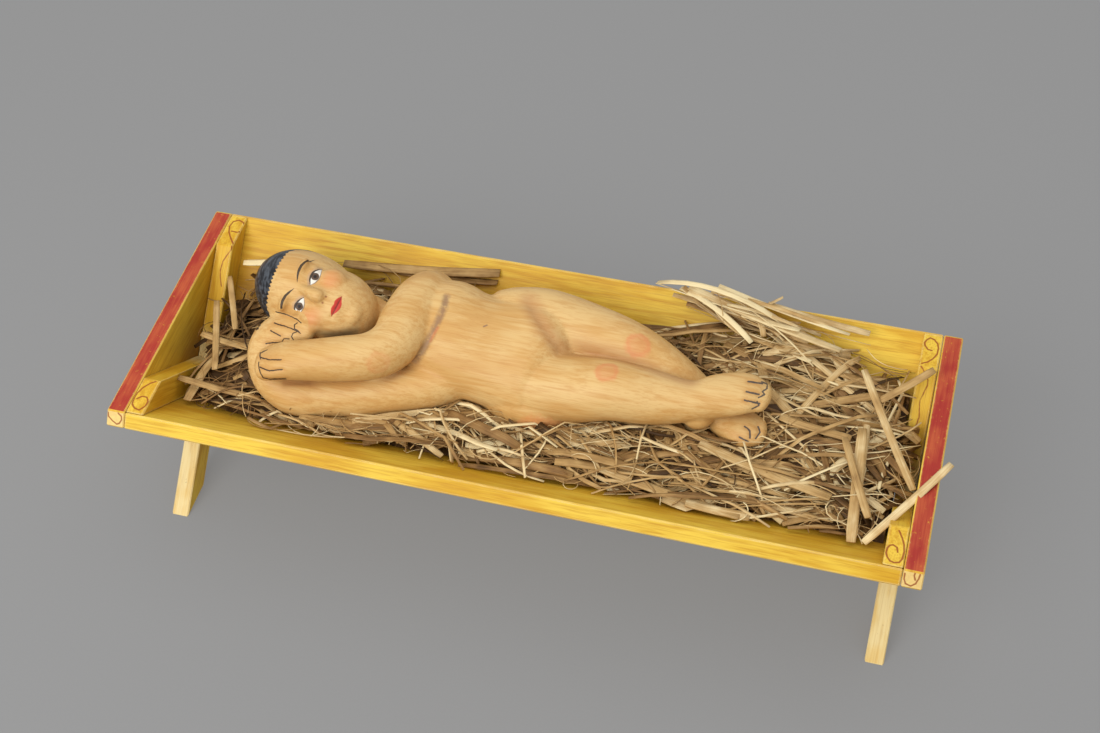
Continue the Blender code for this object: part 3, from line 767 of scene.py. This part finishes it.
# Small scrolls on the end boards' near corners
CORNER_SCROLLS = (
    ((-208.4, -74.9, -0.7), (-206.5, -75.8, -1.8), (-206.3, -77.0, -3.3), (-207.5, -78.4, -5.0)),
    ((-214.4, -75.3, -1.2), (-213.9, -76.6, -2.8), (-211.6, -77.9, -4.3), (-209.0, -78.8, -5.4)),
    ((-209.0, -78.8, -5.4), (-207.5, -78.4, -5.0)),
    (
        (205.9, -75.4, -1.4), (206.0, -77.2, -3.5), (207.0, -78.6, -5.2), (209.5, -79.0, -5.7),
        (211.6, -78.0, -4.5), (212.7, -76.3, -2.4), (213.0, -74.9, -0.7),
    ),
    ((210.5, -74.8, -0.7), (210.4, -75.7, -1.7), (211.2, -76.9, -3.1)),
)


def yellow(tree, point):
    return brushed(tree, point, (YELLOW_PALE, YELLOW, YELLOW_DEEP), 0.34, 30.0)


def facing(tree):
    """The surface's own direction, as its three parts."""
    return Value(tree, tree.nodes.new("ShaderNodeNewGeometry").outputs["Normal"]).parts()


def combined(tree, *parts):
    node = tree.nodes.new("ShaderNodeCombineXYZ")
    for place, part in enumerate(parts):
        plug(tree, node.inputs[place], part)
    return Value(tree, node.outputs[0])


def shaded_low(point, inside, colour):
    """The colour with painted shade: browner towards the bottom of the trough on the faces turned into it.
    """
    patchy = noise_at(point, (0.05, 0.09, 0.09), 3.0) * 16.0 - 8.0
    low = fade(point.parts()[2] + patchy, -42.0, -3.0)
    return blend(low * inside * 0.75, colour, YELLOW_SHADE)


def make_yellow_board():
    made, tree, shader = new_material("yellow paint on board")
    point = rim_point(tree)
    paint = yellow(tree, point)
    inside = fade(facing(tree)[2], 0.35, 0.15)
    colour = shaded_low(point, inside, paint["Color"])
    rubbed = use_group(tree, "rubbed edge", Point=point, Amount=0.75)["Mask"]
    colour = blend(rubbed, colour, CREAM_PALE)
    specks = fade(noise_at(point, (0.9, 0.9, 0.9), 2.0), 0.80, 0.74)
    colour = blend(specks * 0.6, colour, YELLOW_DEEP)
    lay_on(tree, shader, colour, paint["Roughness"], paint["Height"], BOARD_RELIEF)
    return made


def make_end_board():
    """Grain runs across the manger; the top is red, and the near and far corners are pale."""
    made, tree, shader = new_material("red top on yellow board")
    point = rim_point(tree)
    along, across, height = point.parts()
    turned = combined(tree, across, along, height)
    paint = yellow(tree, turned)
    red = brushed(tree, turned, (RED_PALE, RED, RED_DEEP), 0.30, 12.0)
    turned_along, turned_across, up = facing(tree)
    inside = fade(along.math("SIGN") * turned_along, -0.8, -0.5)
    colour = shaded_low(point, inside, paint["Color"])
    corner = fade(abs(turned_across), 0.6, 0.4) * fade(up, 0.4, 0.2)
    colour = blend(corner * 0.55, colour, CREAM_PALE)
    ragged = noise_at(point, (0.5, 0.5, 0.5), 3.0)
    top = fade(up + ragged * 0.05, 0.97, 0.93)
    rubbed = use_group(tree, "rubbed edge", Point=point, Amount=0.8)["Mask"]
    worn = fade(noise_at(point, (0.35, 0.35, 0.35), 4.0, 0.7), 0.66, 0.62) * 0.45
    colour = blend(rubbed * 0.7, colour, CREAM_PALE)
    colour = blend(top * (rubbed + worn).inverse(), colour, red["Color"])
    scrolls = drawn_lines(tree, wobbled(point, 0.4), CORNER_SCROLLS, 0.8)
    colour = blend(scrolls * top.inverse() * 0.85, colour, SCROLL_BROWN)
    lay_on(tree, shader, colour, paint["Roughness"], paint["Height"], BOARD_RELIEF)
    return made


def make_leg_paint(name, lean):
    """Grain runs down the leg, which leans one way or the other across the manger."""
    made, tree, shader = new_material(name)
    point = rim_point(tree)
    along, across, height = point.parts()
    cosine, sine = math.cos(BOARD_SLOPE), math.sin(BOARD_SLOPE)
    lengthways = across * (lean * cosine) + height * sine
    sideways = height * cosine - across * (lean * sine)
    turned = combined(tree, lengthways, sideways, along)
    paint = yellow(tree, turned)
    cream = brushed(tree, turned, (CREAM_PALE, CREAM, CREAM_DEEP), 0.22, 12.0)
    turned_across = facing(tree)[1]
    within = fade(abs(across), 66.0, 74.0) * fade(height, -1.0, -4.0) * fade(height, -52.0, -60.0)
    colour = shaded_low(point, within, paint["Color"])
    outward = fade(turned_across * (lean * -1), 0.2, 0.05)
    foot = fade(height, -38.0, -28.0) * outward
    colour = blend(foot, colour, cream["Color"])
    rubbed = use_group(tree, "rubbed edge", Point=point, Amount=0.7)["Mask"]
    colour = blend(rubbed, colour, CREAM_PALE)
    specks = fade(noise_at(point, (0.7, 0.7, 0.7), 2.0), 0.76, 0.70)
    colour = blend(specks * foot * 0.6, colour, (0.20, 0.12, 0.06))
    scrolls = drawn_lines(tree, wobbled(point, 0.4), LEG_SCROLLS, 0.9)
    colour = blend(scrolls * 0.88, colour, SCROLL_BROWN)
    lay_on(tree, shader, colour, paint["Roughness"], paint["Height"], BOARD_RELIEF)
    return made


def make_straw_finish():
    made, tree, shader = new_material("dry split straw")
    nodes = {}
    for name in ("lengthways", "tone"):
        nodes[name] = tree.nodes.new("ShaderNodeAttribute")
        nodes[name].attribute_name = name
    fibres = use_group(
        tree,
        "straw fibres",
        Lengthways=Value(tree, nodes["lengthways"].outputs["Vector"]),
        Tone=Value(tree, nodes["tone"].outputs["Fac"]),
    )
    lay_on(tree, shader, fibres["Color"], fibres["Roughness"], fibres["Height"], STALK_RELIEF)
    return made


def loft(bm, rings):
    """Closed skin over rings of equal count, with a flat face on each end."""
    rows = [[bm.verts.new(point) for point in ring] for ring in rings]
    count = len(rows[0])
    for low, high in zip(rows, rows[1:]):
        for i in range(count):
            j = (i + 1) % count
            bm.faces.new((low[i], low[j], high[j], high[i]))
    bm.faces.new(list(reversed(rows[0])))
    bm.faces.new(rows[-1])


def between(stations, place):
    """Catmull-Rom blend of the stations at a place counted in stations."""
    last = len(stations) - 1
    base = min(int(place), last - 1)
    t = place - base
    before = stations[max(base - 1, 0)]
    start = stations[base]
    end = stations[base + 1]
    after = stations[min(base + 2, last)]
    blended = []
    for a, b, c, d in zip(before, start, end, after):
        bend = (2 * a - 5 * b + 4 * c - d) * t**2
        sway = (3 * b - a - 3 * c + d) * t**3
        blended.append(0.5 * (2 * b + (c - a) * t + bend + sway))
    return blended


def limb_rings(stations, roll=0.0, up=Vector((0, 0, 1))):
    """Elliptical rings along the stations, drawn in to a rounded end at both ends."""
    count = (len(stations) - 1) * STEPS
    rows = [between(stations, i / STEPS) for i in range(count + 1)]
    centres = [Vector(row[:3]) for row in rows]
    rings = []
    for i, row in enumerate(rows):
        way = (centres[min(i + 1, count)] - centres[max(i - 1, 0)]).normalized()
        side = up.cross(way).normalized()
        deep = way.cross(side)
        side, deep = (
            side * math.cos(roll) + deep * math.sin(roll),
            deep * math.cos(roll) - side * math.sin(roll),
        )
        wide, thick = row[3:5]
        at_start, at_end = i == 0, i == count
        caps = [math.radians(a) for a in (80, 55, 30)] if at_start else []
        caps += [0.0]
        caps += [math.radians(a) for a in (30, 55, 80)] if at_end else []
        for lean in caps:
            reach = min(wide, thick) * math.sin(lean) * (-1 if at_start and not at_end else 1)
            middle = centres[i] + way * reach
            shrink = math.cos(lean)
            rings.append(
                [
                    middle
                    + side * (wide * shrink * math.cos(turn))
                    + deep * (thick * shrink * math.sin(turn))
                    for turn in (2 * math.pi * k / RING_POINTS for k in range(RING_POINTS))
                ]
            )
    return rings


def ball(bm, middle, radii, turn=Matrix()):
    """An ellipsoid with its radii along the columns of the turn."""
    size = Matrix.Diagonal((*radii, 1))
    bmesh.ops.create_uvsphere(
        bm, u_segments=28, v_segments=18, radius=1, matrix=Matrix.Translation(middle) @ turn @ size
    )


def add_object(name, mesh, nodes=()):
    """A piece on the model's one body; the CAD nodes it stands for are hidden."""
    made = bpy.data.objects.new(name, mesh)
    bpy.context.scene.collection.objects.link(made)
    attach(made, "root")
    if nodes:
        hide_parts(*nodes)
    return made


def applied(made):
    """The object's mesh with its modifiers applied."""
    graph = bpy.context.evaluated_depsgraph_get()
    mesh = bpy.data.meshes.new_from_object(made.evaluated_get(graph))
    made.modifiers.clear()
    made.data = mesh
    return mesh


def distance_to(points, line):
    """How far each point is from a line of stations, in millimetres."""
    nearest = np.full(len(points), np.inf)
    for start, end in zip(line, line[1:]):
        start = np.array(start, float)
        way = np.array(end, float) - start
        share = np.clip((points - start) @ way / (way @ way), 0, 1)
        away = np.linalg.norm(points - start - share[:, None] * way, axis=1)
        nearest = np.minimum(nearest, away)
    return nearest


def carve_lines(points, normals):
    """Cuts the folds, fingers and toes into the skin."""
    cuts = [(line, 0.55, 0.9) for line in (*FINGER_LINES, *TOE_LINES)]
    cuts += [(line, 0.30, 0.8) for line in (*FINGERTIP_LINES, *TOE_TIP_LINES)]
    cuts += [(GROIN, 0.9, 3.0), (BESIDE_UPPER_ARM, 0.8, 1.8), (UNDER_FOREARM, 0.5, 1.6)]
    cuts += [(HAND_EDGE, 0.5, 1.0), (UNDER_CHIN_GAP, 1.2, 1.6)]
    for line, depth, width in cuts:
        away = distance_to(points, line)
        points -= normals * (depth * np.exp(-((away / width) ** 2)))[:, None]


# Low forms of the face: side, height, half width, half height and rise; each is mirrored
FACE_RELIEF = (
    (9.2, 1.2, 5.8, 3.8, -1.3),
    (9.0, -0.2, 4.4, 2.3, 1.3),
    (3.4, -10.2, 1.7, 1.6, 0.8),
    (1.6, -17.3, 2.4, 1.0, 0.7),
    (2.0, -20.2, 2.6, 1.2, 0.6),
    (2.4, -18.6, 2.6, 0.5, -0.55),
    (5.9, -18.5, 1.2, 1.0, -0.45),
    (11.0, -11.0, 4.5, 4.5, 0.5),
)


def carve_face(points):
    side_way, face_way, crown_way = (np.array(axis) for axis in head_axes())
    away = points - np.array(HEAD_MIDDLE)
    side = np.abs(away @ side_way)
    height = away @ crown_way
    front = 1 / (1 + np.exp(-(away @ face_way - 8.0)))
    near = np.linalg.norm(away, axis=1) < RELIEF_REACH
    for across, up, half_width, half_height, rise in FACE_RELIEF:
        share = np.exp(-(((side - across) / half_width) ** 2) - ((height - up) / half_height) ** 2)
        points += (rise * share * front * near)[:, None] * face_way


def make_child(finishes):
    """The carved child in one skin: overlapping forms, remeshed fine, then cut with its details."""
    bm = bmesh.new()
    loft(bm, limb_rings(TORSO, TORSO_ROLL))
    for limb in (NECK, LEFT_ARM, RIGHT_ARM, RIGHT_LEG, LEFT_LEG):
        loft(bm, limb_rings(limb))
    for middle, radii in SEAT + HEEL + UNDER_CHIN:
        ball(bm, middle, radii)
    turn = Matrix(head_axes()).transposed().to_4x4()
    place = Matrix.Translation(HEAD_MIDDLE) @ turn
    nose = [(0, forward, height, wide, deep) for height, forward, wide, deep in NOSE]
    loft(bm, [[place @ point for point in ring] for ring in limb_rings(nose, up=Vector((0, 1, 0)))])
    for side, forward, height, *radii in SKULL + FACE:
        ball(bm, place @ Vector((side, forward, height)), radii, turn)
    for vertex in bm.verts:
        vertex.co = vertex.co * MILLIMETRE + Vector((0, 0, RIM_HEIGHT))
    bmesh.ops.recalc_face_normals(bm, faces=bm.faces)
    mesh = bpy.data.meshes.new("carved_child")
    bm.to_mesh(mesh)
    bm.free()
    child = add_object("carved_child", mesh, ["figure"])
    remesh = child.modifiers.new("one skin", "REMESH")
    remesh.mode = "VOXEL"
    remesh.voxel_size = SKIN_VOXEL * MILLIMETRE
    smooth = child.modifiers.new("soften", "SMOOTH")
    smooth.factor = 0.5
    smooth.iterations = SKIN_SOFTENED
    mesh = applied(child)
    mesh.name = "carved_child"

    points = np.empty(len(mesh.vertices) * 3, np.float32)
    mesh.vertices.foreach_get("co", points)
    points = (points.reshape(-1, 3).astype(float) - (0, 0, RIM_HEIGHT)) / MILLIMETRE
    normals = np.empty(len(points) * 3, np.float32)
    mesh.vertex_normals.foreach_get("vector", normals)
    carve_lines(points, normals.reshape(-1, 3))
    carve_face(points)
    mesh.vertices.foreach_set("co", (points * MILLIMETRE + (0, 0, RIM_HEIGHT)).ravel().astype(np.float32))
    mesh.update()
    mesh.shade_smooth()

    mesh.materials.clear()
    for finish in finishes:
        mesh.materials.append(finish)
    centres = np.empty(len(mesh.polygons) * 3, np.float32)
    mesh.polygons.foreach_get("center", centres)
    centres = (centres.reshape(-1, 3) - (0, 0, RIM_HEIGHT)) / MILLIMETRE
    on_head = (np.linalg.norm(centres - np.array(HEAD_MIDDLE), axis=1) < HEAD_REACH) & (
        (centres[:, 2] > -8) & (centres[:, 0] < -98) & (centres[:, 1] > -12)
    )
    lines = (*FINGER_LINES, *FINGERTIP_LINES, HAND_EDGE)
    on_hands = np.min([distance_to(centres, line) for line in lines], axis=0) < LINE_REACH
    lines = (*TOE_LINES, *TOE_TIP_LINES)
    on_feet = np.min([distance_to(centres, line) for line in lines], axis=0) < LINE_REACH
    chosen = np.select([on_hands, on_feet, on_head], [2, 3, 1], 0)
    mesh.polygons.foreach_set("material_index", chosen.astype(np.int32))
    return child


STRAW_LEVEL = 0.0145
STRAW_DIP = 0.009
STRAW_HEAP = 0.010
STALK_RINGS = 8
TRIES_PER_STALK = 14
STEPS_DOWN = 14
STEP_DOWN = 0.0022
HEAD_END = -0.72  # where the straw thins, as a share of the room between the legs
HEAD_END_SKIPPED = 0.45
# how much darker the stalks' tones are at the head end, as painted shade
HEAD_END_SHADE = 0.34
TUFT_STALKS = 44
TUFT_WIDTHS = (0.5, 0.7, 0.9, 1.3, 2.2, 3.6)
MATTING_STEPS = (80, 24)  # along and across
MATTING_SUNK = 0.008


def straw_height(x, y):
    """The bed's top: level, lower by the head and heaped behind the feet."""
    lower = STRAW_DIP / (1 + math.exp((x + 0.80 * HALF_LENGTH) * 30 / HALF_LENGTH))
    along = (x - 0.58 * HALF_LENGTH) / (0.22 * HALF_LENGTH)
    across = (y - 0.66 * HALF_RIM) / (0.22 * HALF_RIM)
    higher = STRAW_HEAP * math.exp(-(along**2) - across**2)
    ripple = 0.0022 * noise.noise(Vector((x, y, 0)) * 60)
    return RIM_HEIGHT - STRAW_LEVEL - lower + higher + ripple


def wall_y(z):
    """How far the straw may reach sideways at a height, inside the side boards."""
    return (z - TROUGH_BOTTOM) / RISE


class Sheaf:
    """Gathers stalks as points and faces, with a tone and lengthways coordinates at each point."""

    def __init__(self, chance):
        self.chance = chance
        self.points = []
        self.faces = []
        self.tones = []
        self.lengthways = []

    def add(self, path, width, tone, flatness=0.28, split=0.0, twist=0.0, sides=8):
        """One stalk along a path: a flattened tube, or a hollowed strip where it is split."""
        first = len(self.points)
        offset = self.chance.uniform(0, 400)
        rings = len(path)
        travelled = 0.0
        for i, spot in enumerate(path):
            way = (path[min(i + 1, rings - 1)] - path[max(i - 1, 0)]).normalized()
            side = Vector((0, 0, 1)).cross(way)
            side = side.normalized() if side.length > 0.05 else Vector((0, 1, 0))
            flat = way.cross(side)
            turn = twist * (i / (rings - 1) - 0.5) + twist * 0.4
            side, flat = (
                side * math.cos(turn) + flat * math.sin(turn),
                flat * math.cos(turn) - side * math.sin(turn),
            )
            if i:
                travelled += (spot - path[i - 1]).length
            end = 0.82 if i in (0, rings - 1) else 1.0
            for k in range(sides):
                around = 2 * math.pi * (k + 0.5) / sides
                across = math.cos(around)
                high = math.sin(around)
                hollow = -split * (1 - across * across) if high > 0 else 0.0
                self.points.append(
                    spot
                    + side * (across * width / 2 * end)
                    + flat * ((high + hollow) * width / 2 * flatness)
                )
                self.tones.append(tone)
                self.lengthways.append(
                    (offset + across * width / 2 / MILLIMETRE, offset + travelled / MILLIMETRE, offset)
                )
        for i in range(rings - 1):
            low = first + i * sides
            for k in range(sides):
                j = (k + 1) % sides
                self.faces.append((low + k, low + j, low + j + sides, low + k + sides))
        last = first + (rings - 1) * sides
        self.faces.append(tuple(reversed(range(first, first + sides))))
        self.faces.append(tuple(range(last, last + sides)))

    def piece(self, name, finish, nodes=()):
        mesh = bpy.data.meshes.new(name)
        mesh.from_pydata(self.points, [], self.faces)
        tone = mesh.attributes.new("tone", "FLOAT", "POINT")
        tone.data.foreach_set("value", self.tones)
        lengthways = mesh.attributes.new("lengthways", "FLOAT_VECTOR", "POINT")
        lengthways.data.foreach_set("vector", np.array(self.lengthways, np.float32).ravel())
        mesh.materials.append(finish)
        mesh.shade_smooth()
        return add_object(name, mesh, nodes)


def end_x(spot):
    """How far the straw may reach lengthways: to the legs, or between them to the end board."""
    between_legs = HALF_RIM - LEG_ACROSS - (RIM_HEIGHT - spot.z) / RISE
    return END_FACE if abs(spot.y) < between_legs else LEG_INNER


def kept_clear(path, skin, width):
    """The path, pressed down under the child where it would cut into it, or None."""
    clear = []
    for spot in path:
        for _ in range(STEPS_DOWN):
            near, normal, _, away = skin.find_nearest(spot)
            if (spot - near).dot(normal) > width * 0.35:
                break
            spot = spot - Vector((0, 0, STEP_DOWN))
        else:
            return None
        side = wall_y(spot.z) - width * 0.4
        if abs(spot.x) > end_x(spot) - width * 0.5 or abs(spot.y) > side:
            return None
        clear.append(spot)
    return clear


def scattered(chance, skin, count, reach, widths, layer, tones, bend=0.15, tilt=0.05):
    """Stalks strewn over the bed, as (path, width, tone); fewer at the head end, and darker there as painted
    shade.
    """
    made = []
    tries = 0
    while len(made) < count and tries < count * TRIES_PER_STALK:
        tries += 1
        x = chance.uniform(-1.02, 1.02) * LEG_INNER
        y = chance.uniform(-0.95, 0.95) * HALF_RIM
        at_head_end = x < HEAD_END * LEG_INNER
        if at_head_end and chance.random() < HEAD_END_SKIPPED:
            continue
        heading = chance.gauss(0.0, 0.5) if chance.random() < 0.65 else chance.uniform(-1.6, 1.6)
        length = chance.uniform(*reach)
        width = chance.uniform(*widths)
        turn = chance.gauss(0, bend)
        kink = chance.gauss(0, 0.6) if chance.random() < 0.22 else 0.0
        kinked = chance.randrange(2, STALK_RINGS - 2)
        high = chance.uniform(*layer)
        rise = chance.gauss(0, tilt) * length
        arch = abs(chance.gauss(0, tilt)) * length * 0.5
        x -= math.cos(heading) * length / 2
        y -= math.sin(heading) * length / 2
        path = []
        for i in range(STALK_RINGS):
            share = i / (STALK_RINGS - 1)
            lift = high + rise * (share - 0.5) + arch * 4 * share * (1 - share)
            path.append(Vector((x, y, straw_height(x, y) + lift)))
            way = heading + turn * (2 * share - 1) + (kink if i >= kinked else 0.0)
            x += math.cos(way) * length / (STALK_RINGS - 1)
            y += math.sin(way) * length / (STALK_RINGS - 1)
        path = kept_clear(path, skin, width)
        if path:
            tone = chance.gauss(*tones) - (HEAD_END_SHADE if at_head_end else 0.0)
            made.append((path, width, tone))
    return made


# Layers of straw: piece, count, lengths, widths, heights over the bed, tones, bend, tilt and sides
STRAW_LAYERS = (
    ("lower_straw", 760, (0.026, 0.075), (0.0020, 0.0050), (-0.0080, -0.0035), (0.15, 0.12), 0.10, 0.03, 8),
    ("broad_straw", 640, (0.022, 0.095), (0.0024, 0.0060), (-0.0038, 0.0014), (0.46, 0.22), 0.10, 0.06, 8),
    ("slender_straw", 620, (0.020, 0.080), (0.0009, 0.0024), (-0.0030, 0.0026), (0.50, 0.24), 0.22, 0.09, 6),
    ("straw_wisps", 900, (0.009, 0.046), (0.0003, 0.0008), (-0.0025, 0.0038), (0.62, 0.22), 0.85, 0.14, 4),
)


def make_straw(finish, child):
    skin = BVHTree.FromObject(child, bpy.context.evaluated_depsgraph_get())
    chance = random.Random(7)
    for name, count, reach, widths, layer, tones, bend, tilt, sides in STRAW_LAYERS:
        sheaf = Sheaf(chance)
        for path, width, tone in scattered(chance, skin, count, reach, widths, layer, tones, bend, tilt):
            split = chance.choice((0, 0.9)) if sides == 8 else 0.0
            flatness = chance.uniform(0.16, 0.4) if sides > 4 else 0.6
            sheaf.add(path, width, tone, flatness, split, chance.gauss(0, 0.6), sides)
        sheaf.piece(name, finish, ["straw_bed"] if name == "lower_straw" else ())
    chosen = Sheaf(chance)
    for start, end, width, tone in CHOSEN_STALKS:
        add_chosen(chosen, start, end, width, tone, -0.02, 0.0)
    for _ in range(TUFT_STALKS):
        start = (78 + chance.gauss(0, 12), 68 + chance.gauss(0, 3), 5 + chance.gauss(0, 3))
        end = (124 + chance.gauss(0, 17), 54 + chance.gauss(0, 6), chance.gauss(1, 3.5))
        width = chance.choice(TUFT_WIDTHS)
        tone = chance.gauss(0.62, 0.16)
        add_chosen(chosen, start, end, width, tone, chance.gauss(0, 0.07), chance.gauss(0, 0.05))
    chosen.piece("long_stalks", finish)


def add_chosen(sheaf, start, end, width, tone, bow, bend):
    """A stalk between two points in millimetres, bowed up and bent aside by shares of its length."""
    start = Vector(start) * MILLIMETRE + Vector((0, 0, RIM_HEIGHT))
    end = Vector(end) * MILLIMETRE + Vector((0, 0, RIM_HEIGHT))
    arch = Vector((0, 0, bow)) * (end - start).length
    aside = Vector((end.y - start.y, start.x - end.x, 0)) * bend
    path = [start.lerp(end, i / 9) + (arch + aside) * (4 * i / 9 * (1 - i / 9)) for i in range(10)]
    sheaf.add(path, width * MILLIMETRE, tone, 0.3, 0.7, sheaf.chance.gauss(0, 0.25))


def make_matting(finish):
    """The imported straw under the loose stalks, as one closed slab."""
    along, across = MATTING_STEPS
    rings = []
    for i in range(along + 1):
        x = (LEG_INNER - 0.001) * (2 * i / along - 1)
        top = []
        for k in range(across + 1):
            z = straw_height(x, 0) - 0.007
            y = wall_y(z) * 0.98 * (1 - 2 * k / across)
            top.append(Vector((x, y, straw_height(x, y) - MATTING_SUNK)))
        rings.append([Vector((x, 0, TROUGH_BOTTOM + 0.004))] + list(reversed(top)))
    bm = bmesh.new()
    loft(bm, rings)
    bmesh.ops.recalc_face_normals(bm, faces=bm.faces)
    mesh = bpy.data.meshes.new("packed_straw")
    bm.to_mesh(mesh)
    bm.free()
    mesh.materials.append(finish)
    return add_object("packed_straw", mesh)


def make_matting_finish():
    made, tree, shader = new_material("packed straw in shadow")
    point = rim_point(tree)
    fibres = use_group(
        tree,
        "straw fibres",
        Lengthways=point.vector("MULTIPLY", (0.35, 1.0, 0.5)),
        Tone=noise_at(point, (0.06, 0.25, 0.2), 3.0) * 0.5 - 0.20,
    )
    lay_on(tree, shader, fibres["Color"], fibres["Roughness"], fibres["Height"], MATTING_RELIEF)
    return made


def paint_nodes():
    """The manger's own boards and legs get their paint."""
    finishes = {
        "side_board": make_yellow_board(),
        "end_board": make_end_board(),
        "leg_near_foot": make_leg_paint("yellow leg with a worn cream near foot", 1),
        "leg_far_foot": make_leg_paint("yellow leg with a worn cream far foot", -1),
    }
    for name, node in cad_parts.items():
        for kind, finish in finishes.items():
            if name.endswith(kind):
                for slot in node.material_slots:
                    slot.material = finish


def add_floor():
    made, tree, shader = new_material("pale grey paper on a light table")
    coordinates = Value(tree, tree.nodes.new("ShaderNodeTexCoord").outputs["Object"])
    tooth = noise_at(coordinates, (900, 900, 900), 2.0)
    colour = blend(tooth, (0.100, 0.100, 0.101), (0.112, 0.112, 0.113))
    plug(tree, shader.inputs["Base Color"], colour)
    shader.inputs["Emission Color"].default_value = (1, 1, 1, 1)
    shader.inputs["Emission Strength"].default_value = 0.165
    shader.inputs["Roughness"].default_value = 0.9
    mesh = bpy.data.meshes.new("floor")
    reach = 4.0
    corners = [(-reach, -reach, 0), (reach, -reach, 0), (reach, reach, 0), (-reach, reach, 0)]
    mesh.from_pydata(corners, [], [(0, 1, 2, 3)])
    mesh.materials.append(made)
    floor = bpy.data.objects.new("floor", mesh)
    bpy.context.scene.collection.objects.link(floor)


def add_softbox(name, place, target, size, power, colour):
    light = bpy.data.lights.new(name, "AREA")
    light.shape = "RECTANGLE"
    light.size, light.size_y = size
    light.energy = power
    light.color = colour
    made = bpy.data.objects.new(name, light)
    bpy.context.scene.collection.objects.link(made)
    made.location = place
    made.rotation_euler = (Vector(target) - Vector(place)).to_track_quat("-Z", "Y").to_euler()


def light_scene():
    centre = (0, 0, 0.08)
    add_softbox("key softbox", (-0.50, -0.95, 1.00), centre, (1.0, 0.9), 13.0, (1.0, 0.99, 0.97))
    add_softbox("top softbox", (0.15, 0.0, 1.55), centre, (1.6, 1.2), 6.0, (1.0, 1.0, 1.0))
    world = bpy.data.worlds.new("studio")
    world.use_nodes = True
    world.node_tree.nodes["Background"].inputs["Color"].default_value = (1, 1, 1, 1)
    world.node_tree.nodes["Background"].inputs["Strength"].default_value = 0.68
    bpy.context.scene.world = world
    bpy.context.scene.view_settings.view_transform = "Standard"


def add_camera():
    bearing, height, roll = CAMERA_BEARING, CAMERA_HEIGHT, CAMERA_ROLL
    back = Vector(
        (
            math.sin(bearing) * math.cos(height),
            -math.cos(bearing) * math.cos(height),
            math.sin(height),
        )
    )
    right = Vector((math.cos(bearing), math.sin(bearing), 0))
    up = back.cross(right)
    rolled_right = right * math.cos(roll) + up * math.sin(roll)
    rolled_up = up * math.cos(roll) - right * math.sin(roll)
    lens = bpy.data.cameras.new("camera")
    lens.sensor_width = 36
    lens.lens = CAMERA_LENS
    camera = bpy.data.objects.new("camera", lens)
    bpy.context.scene.collection.objects.link(camera)
    turn = Matrix((rolled_right, rolled_up, back)).transposed().to_4x4()
    camera.matrix_world = Matrix.Translation(CAMERA_PLACE) @ turn
    bpy.context.scene.camera = camera


def make_groups():
    make_rim_point_group()
    make_painted_line_group()
    make_painted_spot_group()
    make_brushed_paint_group()
    make_rubbed_edge_group()
    make_straw_group()


make_groups()
add_camera()
light_scene()
add_floor()
paint_nodes()
tips = (*FINGERTIP_LINES, HAND_EDGE)
hands = make_marked_skin(
    "flesh paint with finger lines", FINGER_LINES, tips, HAND_FACING, 0.7, BLACK_PAINT_AND_SHADE
)
feet = make_marked_skin(
    "flesh paint with toe lines", TOE_LINES, TOE_TIP_LINES, FOOT_FACING, 0.9, (0.05, 0.05, 0.055)
)
child = make_child((make_skin(), make_head_paint(), hands, feet))
make_straw(make_straw_finish(), child)
make_matting(make_matting_finish())
